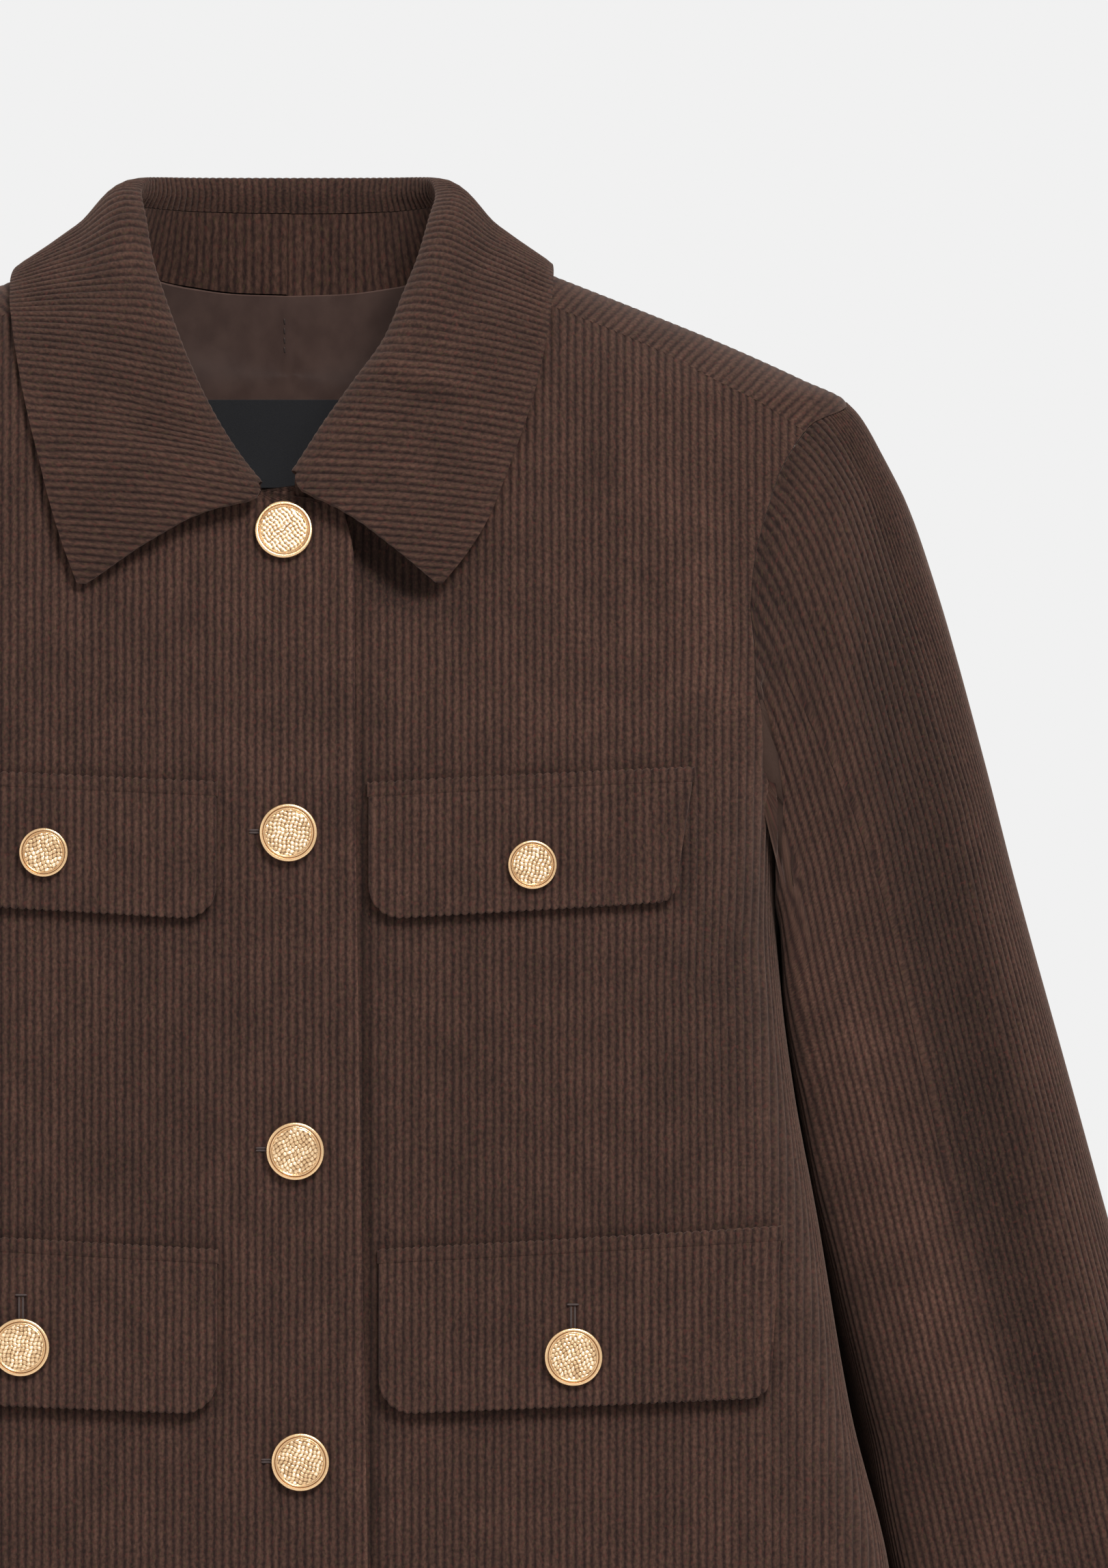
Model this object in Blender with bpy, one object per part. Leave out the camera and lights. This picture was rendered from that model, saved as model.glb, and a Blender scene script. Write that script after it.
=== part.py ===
"""A woman's corduroy jacket, filled out as if worn, with nobody in it.

Metres, +Z up. The front faces -Y and +X is the wearer's left. The origin lies
midway between the two neck ends of the shoulder tops, where the jacket hangs.
The body is one form: at each height its outline is a superellipse, and every
panel is a wall that follows this form between its own seams.
"""
import math

import bpy
import numpy as np

MM = 0.001

# Cloth
CLOTH = 1.8 * MM          # corduroy wall
SATIN = 1.0 * MM          # lining and label wall
SEAM = 0.3 * MM           # space left between two pieces at a seam
SEAM_SHARE = 0.0012       # half of that at shoulder and side, as a share of the quarter girth
LAYER = 2.3 * MM          # from one lapped front to the other, face to face
LAP_FROM = 62 * MM        # distance from the middle at which a front starts to part
LAP_OVER = 28 * MM        # from its form for the lap, and over which it does

# Body
HEM_Z = -600 * MM
UNDERARM_Z = -221 * MM
YOKE_Z = -58 * MM         # height at which the armhole meets the shoulder seam
SIDE_LEAN = 0.07          # share by which the sides draw in towards the back
FRONT_EDGE_UNDER = -20 * MM

# Height, half width, front depth, back depth (mm) and the outline's exponent
BODY = np.array([
    (24.0, 40.0, 16.0, 34.0, 2.2),
    (9.5, 71.0, 26.0, 40.0, 2.2),
    (0.0, 95.5, 34.0, 46.0, 2.3),
    (-13.0, 128.5, 43.0, 52.0, 2.4),
    (-25.0, 158.0, 50.0, 57.0, 2.5),
    (-38.5, 188.0, 57.0, 62.0, 2.7),
    (-46.5, 204.0, 60.0, 65.0, 2.8),
    (-70.0, 212.0, 69.0, 73.0, 3.0),
    (-110.0, 206.0, 78.0, 84.0, 3.2),
    (-150.0, 194.0, 86.0, 92.0, 3.5),
    (-180.0, 185.5, 91.0, 97.0, 3.8),
    (-212.0, 179.0, 94.0, 99.0, 4.0),
    (-260.0, 184.0, 94.0, 97.0, 4.1),
    (-345.0, 194.0, 91.0, 93.0, 4.1),
    (-417.0, 206.5, 92.0, 94.0, 4.0),
    (-474.0, 220.5, 95.0, 98.0, 3.9),
    (-600.0, 234.0, 101.0, 104.0, 3.7),
])[::-1]

# Neckline: direction from the body's middle (degrees from centre front) and height (mm)
NECKLINE = np.array([
    (-40.0, -84.0), (0.0, -83.0), (6.0, -82.0), (12.0, -79.5), (17.0, -73.0),
    (26.0, -60.0), (37.5, -43.0), (46.7, -27.0), (56.3, -13.0), (68.0, 0.0),
    (79.0, 6.5), (90.0, 9.5), (104.0, 8.0), (121.0, 2.0), (139.0, -4.0),
    (158.0, -6.8), (180.0, -7.5),
])
NECK_SEAM_TURN = 68.0     # direction at which the shoulder seam meets the neckline

# Shoulder seam, across and up (mm), from the neck to the armhole
SHOULDER_SEAM = np.array([
    (96.5, -12.0), (119.0, -21.0), (138.5, -29.5), (158.0, -40.0), (174.0, -48.0), (189.0, -58.0),
])

# Armhole, across and up (mm), from the shoulder tip to the underarm
ARMHOLE = np.array([
    (204.0, -46.5), (193.0, -54.0), (189.0, -58.0), (181.0, -70.0), (176.0, -84.0),
    (172.0, -98.0), (169.5, -113.5), (169.0, -125.5), (170.0, -135.0), (171.0, -150.0),
    (172.5, -158.0), (175.0, -176.0), (176.6, -193.0), (178.2, -208.0), (179.2, -217.0),
    (179.9, -221.0),
])
ARMHOLE_SEAM_ROW = 2      # row at which the shoulder seam ends
BACK_ARMHOLE_IN = 4 * MM  # how much further in the back armhole is cut

# Front edge of the lapping front: height and place across (mm)
FRONT_EDGE = np.array([
    (-600.0, 31.0), (-474.0, 29.0), (-330.0, 26.5), (-187.0, 24.5), (-105.0, 24.0), (-83.0, 19.0),
])

# Sleeve: place along it, outer edge x and z, inner edge x and z, middle y, half depth
# (mm), exponent of the half towards the body, lean of its front corner (mm)
SLEEVE = np.array([
    (0.000, 204.0, -46.5, 181.0, -221.0, 0.0, 60.0, 2.6, 0.0),
    (0.011, 208.5, -51.0, 181.0, -223.0, 1.5, 60.0, 2.6, 0.0),
    (0.036, 216.5, -63.0, 180.6, -226.0, 4.0, 60.0, 2.7, 0.0),
    (0.068, 225.5, -80.0, 180.6, -231.0, 7.0, 60.0, 3.0, 0.0),
    (0.129, 237.0, -113.5, 181.6, -242.0, 11.0, 60.0, 4.0, 0.0),
    (0.240, 254.5, -176.0, 183.7, -260.0, 16.0, 59.5, 5.0, 0.3),
    (0.327, 267.0, -225.0, 186.0, -279.0, 19.0, 59.0, 5.0, 0.3),
    (0.450, 286.0, -294.0, 191.6, -332.0, 21.0, 57.5, 5.0, 1.5),
    (0.540, 300.0, -345.0, 196.4, -377.0, 21.0, 56.0, 5.0, 7.5),
    (0.600, 309.0, -377.0, 202.4, -408.0, 19.3, 54.8, 5.0, 9.0),
    (0.656, 318.0, -410.0, 209.5, -440.0, 17.0, 53.5, 4.6, 7.5),
    (0.769, 335.0, -474.0, 223.0, -504.0, 11.0, 51.0, 4.2, 6.0),
    (0.885, 352.0, -540.0, 240.0, -568.0, 2.0, 48.0, 3.6, 4.0),
    (1.000, 366.0, -605.0, 264.0, -633.0, -8.0, 45.0, 3.0, 2.0),
])
SLEEVE_CAP = 0.30         # share of the sleeve over which the armhole's shape fades out
SLEEVE_EXPONENT = 2.6
# Underarm turn: how far the sleeve rises over its seam and stands out from the body,
# at its first rows
UNDERARM_TURN = ((2.2 * MM, 1.0 * MM), (1.5 * MM, 2.4 * MM))

# Collar, wearer's left: place round it, fold x, y, z, outer edge x, y, z,
# neckline direction (degrees), share of the wale cut off by the front edge
COLLAR_LEFT = np.array([
    (0.00, 0.0, 50.0, 36.0, 0.0, 63.0, -24.0, 180.0, 0.00),
    (0.12, 25.0, 47.0, 36.0, 35.0, 61.0, -23.0, 152.0, 0.00),
    (0.24, 42.0, 36.0, 36.0, 66.0, 52.0, -17.0, 131.0, 0.00),
    (0.35, 51.0, 21.0, 35.5, 90.0, 38.0, -5.5, 112.0, 0.00),
    (0.44, 53.5, 6.0, 32.5, 96.5, 6.0, 4.0, 95.0, 0.00),
    (0.53, 51.0, -10.0, 22.0, 97.0, -14.0, 1.0, 80.0, 0.00),
    (0.61, 47.0, -24.0, 6.5, 96.5, -32.0, -8.0, 68.0, 0.00),
    (0.69, 42.0, -35.0, -6.0, 95.5, -42.0, -17.0, 55.0, 0.00),
    (0.77, 35.0, -47.0, -23.0, 93.0, -53.0, -31.0, 44.0, 0.00),
    (0.85, 23.0, -57.0, -40.0, 89.0, -62.5, -47.0, 32.0, 0.00),
    (0.92, 13.0, -64.5, -54.0, 84.0, -68.5, -62.0, 20.0, 0.00),
    (1.00, 1.0, -73.0, -72.5, 78.0, -75.0, -78.0, 3.0, 0.00),
    (1.07, -8.0, -79.0, -85.0, 73.0, -79.5, -90.0, 3.0, 0.32),
    (1.15, -19.0, -86.0, -99.0, 65.0, -83.0, -103.0, 3.0, 0.68),
    (1.23, -28.0, -92.0, -110.0, 56.5, -84.5, -113.5, 3.0, 0.97),
])
COLLAR_RIGHT = np.array([
    (0.00, 0.0, 50.0, 36.0, 0.0, 63.0, -24.0, 180.0, 0.00),
    (0.12, -25.0, 47.0, 36.0, -35.0, 61.0, -23.0, 152.0, 0.00),
    (0.24, -43.0, 36.0, 36.0, -66.0, 52.0, -17.0, 131.0, 0.00),
    (0.35, -52.0, 21.0, 35.5, -91.0, 38.0, -5.5, 112.0, 0.00),
    (0.44, -54.5, 6.0, 32.5, -98.0, 7.0, 4.0, 95.0, 0.00),
    (0.53, -52.5, -10.0, 22.0, -101.5, -7.0, 1.5, 80.0, 0.00),
    (0.61, -50.0, -24.0, 6.0, -102.5, -19.0, -3.0, 68.0, 0.00),
    (0.69, -45.5, -35.0, -8.0, -102.5, -30.5, -9.0, 55.0, 0.00),
    (0.77, -38.5, -48.0, -27.0, -101.5, -42.5, -19.0, 44.0, 0.00),
    (0.85, -30.0, -58.0, -46.0, -99.0, -55.0, -35.0, 32.0, 0.00),
    (0.92, -20.0, -65.5, -63.0, -95.5, -64.5, -52.0, 20.0, 0.00),
    (1.00, -9.5, -75.0, -76.5, -91.5, -71.5, -68.0, 9.0, 0.00),
    (1.07, 3.0, -81.5, -89.0, -88.0, -76.5, -82.0, 9.0, 0.35),
    (1.15, 18.0, -86.5, -105.0, -83.5, -80.5, -97.0, 9.0, 0.69),
    (1.23, 33.0, -90.0, -121.0, -77.5, -82.5, -113.5, 9.0, 0.97),
])
FOLD_RADIUS = 2.6 * MM    # of the leaf's face where it turns over the stand
STAND_CLEAR = 0.8 * MM    # between the stand and the faceted neckline
STAND_SHARE = 0.74        # share of the height under the fold that is stand
# Places across the leaf, from the stand to the outer edge, of its six controls
LEAF_KNOTS = (0.0, 0.16, 0.205, 0.25, 0.62, 1.0)
LEAF_OVER = LEAF_KNOTS[3]
LEAF_INSIDE = (0.0, 0.1, 0.18, 0.215)
LEAF_BULGE = 3 * MM       # how far the leaf bows out between fold and edge
LEAF_FLAT = (0.46, 0.16)  # place round the collar, over the shoulder, where it lies straight

# Lining and label inside the back neck
LINING_BOTTOM_Z = -122 * MM
LINING_TURNS = (118.0, 138.0)  # directions of its side edges at the top and the bottom
LINING_GAP = 1.0 * MM
LINING_BELOW = 1.5 * MM   # its top edge lies this far under the neck seam
LABEL_DEPTH = CLOTH + LINING_GAP + SATIN + 0.5 * MM
LABEL_X = (-39 * MM, 36 * MM)
LABEL_Z = (-76.5 * MM, -44 * MM)

# Flaps, wearer's left: x from and to, top z, heights, all from the middle outwards,
# corner radius, how far the outer end leans in, and how much nearer the middle the
# wearer's right one lies (mm)
FLAPS = {
    "chest": (29.3, 147.0, -191.8, -186.2, 44.8, 43.6, 9.0, 3.5, 3.0),
    "hip": (33.0, 178.0, -362.3, -354.3, 55.2, 57.2, 9.5, 2.0, 7.0),
}
FLAP_WALL = 2.4 * MM
FLAP_STAND_OFF = 3 * MM    # of the flap's lower edge
POCKET_CLEAR = 0.5 * MM    # between the panel and what is sewn on it
FLAP_CURVE = 0.8 * MM      # more of it where the panel turns away, from here and over this
FLAP_CURVE_FROM = 100 * MM
FLAP_CURVE_OVER = 70 * MM
WELT_HEIGHT = 5.2 * MM
WELT_WALL = 2.6 * MM

# Buttons: across and up (mm)
FRONT_BUTTONS = ((-1.75, -94.75), (0.0, -205.0), (2.5, -321.0), (4.4, -435.0), (6.3, -549.0))
FRONT_BUTTON_R = 10.65 * MM
FLAP_BUTTONS = {
    "chest": ((88.8, -216.5), (-89.0, -212.0), 9.0 * MM),
    "hip": ((103.8, -396.5), (-97.5, -393.0), 10.65 * MM),
}
# Button section: share of the radius, height above the cloth (mm)
BUTTON_SECTION = (
    (0.00, 0.6), (0.30, 0.6), (0.30, 1.6), (0.90, 1.6), (1.00, 2.2), (0.99, 3.2),
    (0.93, 3.6), (0.84, 3.3), (0.00, 3.5),
)
BUTTON_SIDES = 20

# Mesh steps
ARMHOLE_STEPS = (2, 12)   # shoulder tip to shoulder seam, then to the underarm
SHOULDER_STEPS = 4
SIDE_STEPS = 9
FRONT_COLUMNS = 10
BACK_COLUMNS = 7
SLEEVE_ROWS = 15
# Rows at which the seam down the side starts, passes the armhole and ends, and the
# heights that they have at the middle of the front and of the back
FRONT_ROWS = ((0, 4, 16, 25), (-83.5 * MM, -102 * MM, -240 * MM, HEM_Z))
BACK_ROWS = ((0, 12, 21), (YOKE_Z, -232 * MM, HEM_Z))


def smooth(at, table, column, start=0):
    """Value of a table's column at places along its column start, by a monotone cubic."""
    x, y = table[:, start], table[:, column]
    step = np.diff(x)
    slope = np.diff(y) / step
    w1, w2 = 2 * step[1:] + step[:-1], step[1:] + 2 * step[:-1]
    same = slope[1:] * slope[:-1] > 0
    safe = np.where(same, slope[:-1], 1.0), np.where(same, slope[1:], 1.0)
    middle = np.where(same, (w1 + w2) / (w1 / safe[0] + w2 / safe[1]), 0.0)
    rate = np.concatenate([slope[:1], middle, slope[-1:]])
    at = np.clip(at, x[0], x[-1])
    i = np.clip(np.searchsorted(x, at, side="right") - 1, 0, len(x) - 2)
    t = (at - x[i]) / step[i]
    return (
        y[i] * (1 + 2 * t) * (1 - t) ** 2 + y[i + 1] * t * t * (3 - 2 * t)
        + step[i] * (rate[i] * t * (1 - t) ** 2 - rate[i + 1] * t * t * (1 - t))
    )


def ease(value):
    """0 below 0, 1 above 1, and a soft S between."""
    value = np.clip(value, 0.0, 1.0)
    return value * value * (3 - 2 * value)


def unit(vectors):
    return vectors / np.linalg.norm(vectors, axis=-1, keepdims=True)


def blend(a, b, share):
    return a + (b - a) * share


# ---- The body's form ---------------------------------------------------------


def torso(turn, z):
    """Point of the form in direction turn (degrees from centre front) at height z."""
    angle = np.radians(np.abs(turn))
    half_width, front, back, power = (smooth(z / MM, BODY, column) for column in (1, 2, 3, 4))
    depth = np.where(angle < math.pi / 2, front, back)
    reach = ((np.abs(np.sin(angle)) / half_width) ** power
             + (np.abs(np.cos(angle)) / depth) ** power) ** (-1 / power) * MM
    x, y = reach * np.sin(angle), -reach * np.cos(angle)
    lean = SIDE_LEAN * ease((-100 * MM - z) / (110 * MM))
    x = x * (1 - lean * ease((y + 40 * MM) / (120 * MM)))
    return np.stack([x * np.sign(turn), y, z + 0 * x], axis=-1)


def torso_normal(turn, z):
    """Outward normal of the form."""
    small_turn, small_z = 0.05, 0.1 * MM
    across = torso(turn + small_turn, z) - torso(turn - small_turn, z)
    up = torso(turn, z + small_z) - torso(turn, z - small_z)
    return unit(np.cross(across, up))


def turn_at(x, z):
    """Direction of the front's point that lies at x across and z up."""
    half_width, front, power = (smooth(z / MM, BODY, column) for column in (1, 2, 4))
    share = np.clip(np.abs(x / MM) / half_width, 0, 1)
    y = front * (1 - share ** power) ** (1 / power)
    return np.sign(x) * np.degrees(np.arctan2(np.abs(x / MM), y))


def girth_chart():
    """Direction against distance round a middling section: 0 at the front, 1 side, 2 back."""
    turn = np.linspace(0, 180, 721)
    ring = torso(turn, np.full_like(turn, -300 * MM))
    length = np.concatenate([[0], np.cumsum(np.linalg.norm(np.diff(ring, axis=0), axis=1))])
    side = length[360]
    share = np.where(turn <= 90, length / side, 1 + (length - side) / (length[-1] - side))
    return share, turn


GIRTH_SHARE, GIRTH_TURN = girth_chart()


def to_share(turn):
    return np.sign(turn) * np.interp(np.abs(turn), GIRTH_TURN, GIRTH_SHARE)


def to_turn(share):
    return np.sign(share) * np.interp(np.abs(share), GIRTH_SHARE, GIRTH_TURN)


def chart(turn, z):
    """Rows of (share round the girth, height), in which a panel's edges are given."""
    return np.stack(np.broadcast_arrays(to_share(np.asarray(turn, float)), z), axis=-1)


def armhole(back):
    """Chart points of one half of the armhole, tip to underarm, at the mesh's steps."""
    x, z = ARMHOLE[:, 0] * MM, ARMHOLE[:, 1] * MM
    inner = ease(np.arange(len(x)) / 3) * ease((len(x) - 1 - np.arange(len(x))) / 4)
    turn = turn_at(x - back * BACK_ARMHOLE_IN * inner, z)
    turn[[0, -1]] = 90.0
    if back:
        turn = 180 - turn
    ring = torso(turn, z)
    length = np.concatenate([[0], np.cumsum(np.linalg.norm(np.diff(ring, axis=0), axis=1))])
    at_seam = length[ARMHOLE_SEAM_ROW]
    places = np.concatenate([
        np.linspace(0, at_seam, ARMHOLE_STEPS[0] + 1)[:-1],
        np.linspace(at_seam, length[-1], ARMHOLE_STEPS[1] + 1),
    ])
    table = np.column_stack([length, to_share(turn), z])
    points = np.column_stack([smooth(places, table, 1), smooth(places, table, 2)])
    return points, places / length[-1]


def coons(left, right, top, bottom):
    """Grid of chart points between four edges; left and right run down, top and bottom across."""
    s = np.linspace(0, 1, len(left))[:, None, None]
    t = np.linspace(0, 1, len(top))[None, :, None]
    sides = left[:, None] * (1 - t) + right[:, None] * t
    ends = top[None] * (1 - s) + bottom[None] * s
    corners = (
        (left[0] * (1 - t) + right[0] * t) * (1 - s) + (left[-1] * (1 - t) + right[-1] * t) * s
    )
    return sides + ends - corners


def on_body(points, out=0.0):
    """Outer points and inward walls of a grid of chart points, moved out from the form."""
    turn, z = to_turn(points[..., 0]), points[..., 1]
    normal = torso_normal(turn, z)
    outer = torso(turn, z) + normal * np.asarray(out)[..., None]
    return outer, -normal


# ---- Solids ------------------------------------------------------------------


def material(name, color, roughness, metallic=0.0):
    made = bpy.data.materials.new(name)
    made.use_nodes = True
    shader = made.node_tree.nodes["Principled BSDF"]
    shader.inputs["Base Color"].default_value = (*color, 1.0)
    shader.inputs["Roughness"].default_value = roughness
    shader.inputs["Metallic"].default_value = metallic
    return made


def add_mesh(name, points, faces, finish):
    mesh = bpy.data.meshes.new(name)
    mesh.from_pydata([tuple(point) for point in points], [], faces)
    mesh.materials.append(finish)
    mesh.shade_smooth()
    mesh.set_sharp_from_angle(angle=math.radians(40))
    made = bpy.data.objects.new(name, mesh)
    bpy.context.scene.collection.objects.link(made)
    return made


def wall(name, grids, finish, thickness=CLOTH, ring=False):
    """A closed wall of one or more grids that share their meeting edges.

    Each grid is (outer points, inward directions), both rows x columns x 3. A
    ring's last column joins its first.
    """
    points = np.concatenate([outer.reshape(-1, 3) for outer, _ in grids])
    inward = np.concatenate([inner.reshape(-1, 3) for _, inner in grids])
    quads, base = [], 0
    for outer, _ in grids:
        rows, columns = outer.shape[:2]
        number = base + np.arange(rows * columns).reshape(rows, columns)
        if ring:
            number = np.hstack([number, number[:, :1]])
        quads.append(np.stack([number[:-1, :-1], number[1:, :-1], number[1:, 1:],
                               number[:-1, 1:]], axis=-1).reshape(-1, 4))
        base += rows * columns
    quads = np.concatenate(quads)
    _, first, weld = np.unique(np.round(points / (0.01 * MM)).astype(int), axis=0,
                               return_index=True, return_inverse=True)
    points, inward, quads = points[first], inward[first], weld.reshape(-1)[quads]
    # Both faces of the wall are cut along the same, shorter, diagonal
    across = np.linalg.norm(points[quads[:, 0]] - points[quads[:, 2]], axis=1)
    other = np.linalg.norm(points[quads[:, 1]] - points[quads[:, 3]], axis=1)
    quads = np.where((across <= other)[:, None], quads, np.roll(quads, -1, axis=1))
    skin = np.concatenate([quads[:, [0, 1, 2]], quads[:, [0, 2, 3]]])
    edges = np.concatenate([skin[:, [k, (k + 1) % 3]] for k in range(3)])
    known = {tuple(edge) for edge in edges.tolist()}
    rim = np.array([edge for edge in edges.tolist() if (edge[1], edge[0]) not in known])
    count = len(points)
    a, b = rim.T
    faces = np.concatenate([
        skin, skin[:, ::-1] + count,
        np.column_stack([b, a, a + count]), np.column_stack([b, a + count, b + count]),
    ])
    both = np.concatenate([points, points + inward * thickness])
    corners = both[faces]
    volume = np.einsum("ij,ij->", np.cross(corners[:, 0], corners[:, 1]), corners[:, 2])
    faces = faces.tolist()
    if volume < 0:
        faces = [face[::-1] for face in faces]
    return add_mesh(name, both, faces, finish)


def mirrored(grid):
    """The other side's grid, with its columns turned round so that it still faces out."""
    return tuple(part[:, ::-1] * (-1, 1, 1) for part in grid)


# ---- Panels ------------------------------------------------------------------


def shoulder_seam(steps):
    """Chart points of the shoulder seam from the neckline to the armhole."""
    x, z = SHOULDER_SEAM[:, 0] * MM, SHOULDER_SEAM[:, 1] * MM
    neck_z = smooth(np.array([NECK_SEAM_TURN]), NECKLINE, 1) * MM
    turn = np.concatenate([[NECK_SEAM_TURN], turn_at(x, z)])
    z = np.concatenate([neck_z, z])
    table = np.column_stack([np.linspace(0, 1, len(z)), to_share(turn), z])
    places = np.linspace(0, 1, steps + 1)
    return np.column_stack([smooth(places, table, 1), smooth(places, table, 2)])


def neckline(turns):
    return chart(turns, smooth(np.abs(turns), NECKLINE, 1) * MM)


def side_seam():
    heights = np.linspace(UNDERARM_Z, HEM_Z, SIDE_STEPS + 1)
    return chart(np.full_like(heights, 90.0), heights)


def front_panel(side):
    """One front. side is 1 for the wearer's left, under, and -1 for the right, on top."""
    right = np.concatenate([
        shoulder_seam(SHOULDER_STEPS), armhole(False)[0][ARMHOLE_STEPS[0] + 1:], side_seam()[1:],
    ])
    right[:, 0] -= SEAM_SHARE
    heights = np.interp(np.arange(len(right)), *FRONT_ROWS)
    if side > 0:
        edge_x = np.full_like(heights, FRONT_EDGE_UNDER)
    else:
        edge_x = -smooth(heights / MM, FRONT_EDGE, 1) * MM
    left = chart(turn_at(edge_x, heights), heights)
    turns = np.linspace(to_turn(left[0, 0]), to_turn(right[0, 0]), FRONT_COLUMNS + 1)
    top = chart(turns, smooth(turns, NECKLINE, 1) * MM)
    top[0], top[-1] = left[0], right[0]
    hem = blend(left[-1], right[-1], np.linspace(0, 1, FRONT_COLUMNS + 1)[:, None])
    points = coons(left, right, top, hem)
    # The lap: this front's x, counted positive towards its own side
    x = torso(to_turn(points[..., 0]), points[..., 1])[..., 0]
    out = -side * LAYER / 2 * ease((LAP_FROM - x) / LAP_OVER)
    grid = on_body(points, out)
    return grid if side > 0 else mirrored(grid)


def back_panel():
    """The back's grids: each half's shoulder, over the ridge to the seam, and the rest."""
    seam = shoulder_seam(SHOULDER_STEPS)
    front_arm, back_arm = armhole(False)[0], armhole(True)[0]
    tip = ARMHOLE_STEPS[0]
    split = np.concatenate([
        front_arm[tip::-1], back_arm[1:tip + 1],
        blend(back_arm[tip], chart(180.0, YOKE_Z), np.linspace(0, 1, BACK_COLUMNS + 1)[1:, None]),
    ])
    turns = np.concatenate([
        np.linspace(NECK_SEAM_TURN, 90, tip + 1)[:-1],
        np.linspace(90, 104, tip + 1)[:-1],
        to_turn(np.linspace(to_share(104.0), 2, BACK_COLUMNS + 1)),
    ])
    centre = chart(180.0, np.linspace(-7.5 * MM, YOKE_Z, SHOULDER_STEPS + 1))
    seam[:, 0] += SEAM_SHARE
    split[0, 0] += SEAM_SHARE
    top = neckline(turns)
    top[0] = seam[0]
    yoke = coons(seam, centre, top, split)
    left = np.concatenate([back_arm[tip:], side_seam()[1:]])
    left[ARMHOLE_STEPS[1] + 1:, 0] += SEAM_SHARE
    heights = np.interp(np.arange(len(left)), *BACK_ROWS)
    hem = blend(left[-1], chart(180.0, HEM_Z), np.linspace(0, 1, BACK_COLUMNS + 1)[:, None])
    rest = coons(left, chart(180.0, heights), split[2 * tip:], hem)
    halves = [on_body(yoke), on_body(rest)]
    return halves + [mirrored(grid) for grid in halves]


def ring_points(row, angle):
    """Ideal sleeve section: a superellipse from the outer edge round by the front.

    The half towards the body has an exponent of its own, and its front corner
    leans away from the body.
    """
    cosine, sine = np.cos(angle), np.sin(angle)
    power = 2 / np.where(cosine < 0, row[7], SLEEVE_EXPONENT)
    along = (np.sign(cosine) * np.abs(cosine) ** power)[..., None]
    forward = np.sign(sine) * np.abs(sine) ** power
    outer = np.stack([row[1], 0 * row[1], row[2]], axis=-1)
    inner = np.stack([row[3], 0 * row[3], row[4]], axis=-1)
    points = (outer + inner) / 2 + (outer - inner) / 2 * along
    points[..., 0] += row[8] * np.maximum(forward, 0) * ease(-2 * along[..., 0])
    points[..., 1] += row[5] - row[6] * forward
    return points * MM


def sleeve_panel():
    """The wearer's left sleeve: armhole, cap, and down to the open cuff."""
    front, front_share = armhole(False)
    back, back_share = armhole(True)
    hole = np.concatenate([front, back[-2:0:-1]])
    angle = np.pi * np.concatenate([front_share, 2 - back_share[-2:0:-1]])
    start, wall_in = on_body(hole)
    seam = unit(np.roll(start, -1, axis=0) - np.roll(start, 1, axis=0))
    away = unit(np.cross(-wall_in, seam))
    middle = start.mean(axis=0)
    away *= np.sign(np.einsum("ij,ij->i", away, middle - start))[:, None]
    start = start + away * SEAM
    rows = np.concatenate([[0, 0.012, 0.03, 0.06], np.linspace(0.1, 1, SLEEVE_ROWS - 4)])
    values = [smooth(rows, SLEEVE, column)[:, None] for column in range(9)]
    ideal = ring_points(values, angle[None])
    under = ease((-np.cos(angle) - 0.1) / 0.8)[None, :, None]
    fade = np.clip(1 - rows / SLEEVE_CAP, 0, 1)[:, None, None] ** (1.5 + 14 * under)
    outer = ideal + (start - ideal[0])[None] * fade
    for row, (rise, stand) in enumerate(UNDERARM_TURN, start=1):
        turned = start + away * rise - wall_in * stand
        outer[row] = blend(outer[row], turned, under[0])
    around = np.roll(outer, -1, axis=1) - np.roll(outer, 1, axis=1)
    along = np.gradient(outer, axis=0)
    normal = unit(np.cross(around, along))
    centre = outer.mean(axis=1, keepdims=True)
    normal *= np.sign(np.einsum("ijk,ijk->ij", normal, outer - centre))[..., None]
    inward = -normal
    inward[0] = wall_in
    inward[1] = unit(inward[1] + wall_in)
    return outer, inward


# ---- Collar ------------------------------------------------------------------


def collar_rows(steps, wedge_steps):
    """Values round the collar, wearer's right front to left front, and which are wedge."""
    main = np.linspace(0, 1, steps + 1)
    wedge = np.linspace(1, 1.23, wedge_steps + 1)[1:]
    sides = []
    for table, sign in ((COLLAR_RIGHT, -1), (COLLAR_LEFT, 1)):
        places = np.concatenate([main, wedge])
        row = np.column_stack([smooth(places, table, column) for column in range(9)])
        row[:, 1:7] *= MM
        row[:, 7] *= sign
        sides.append(row)
    return np.concatenate([sides[0][:0:-1], sides[1]])


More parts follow.
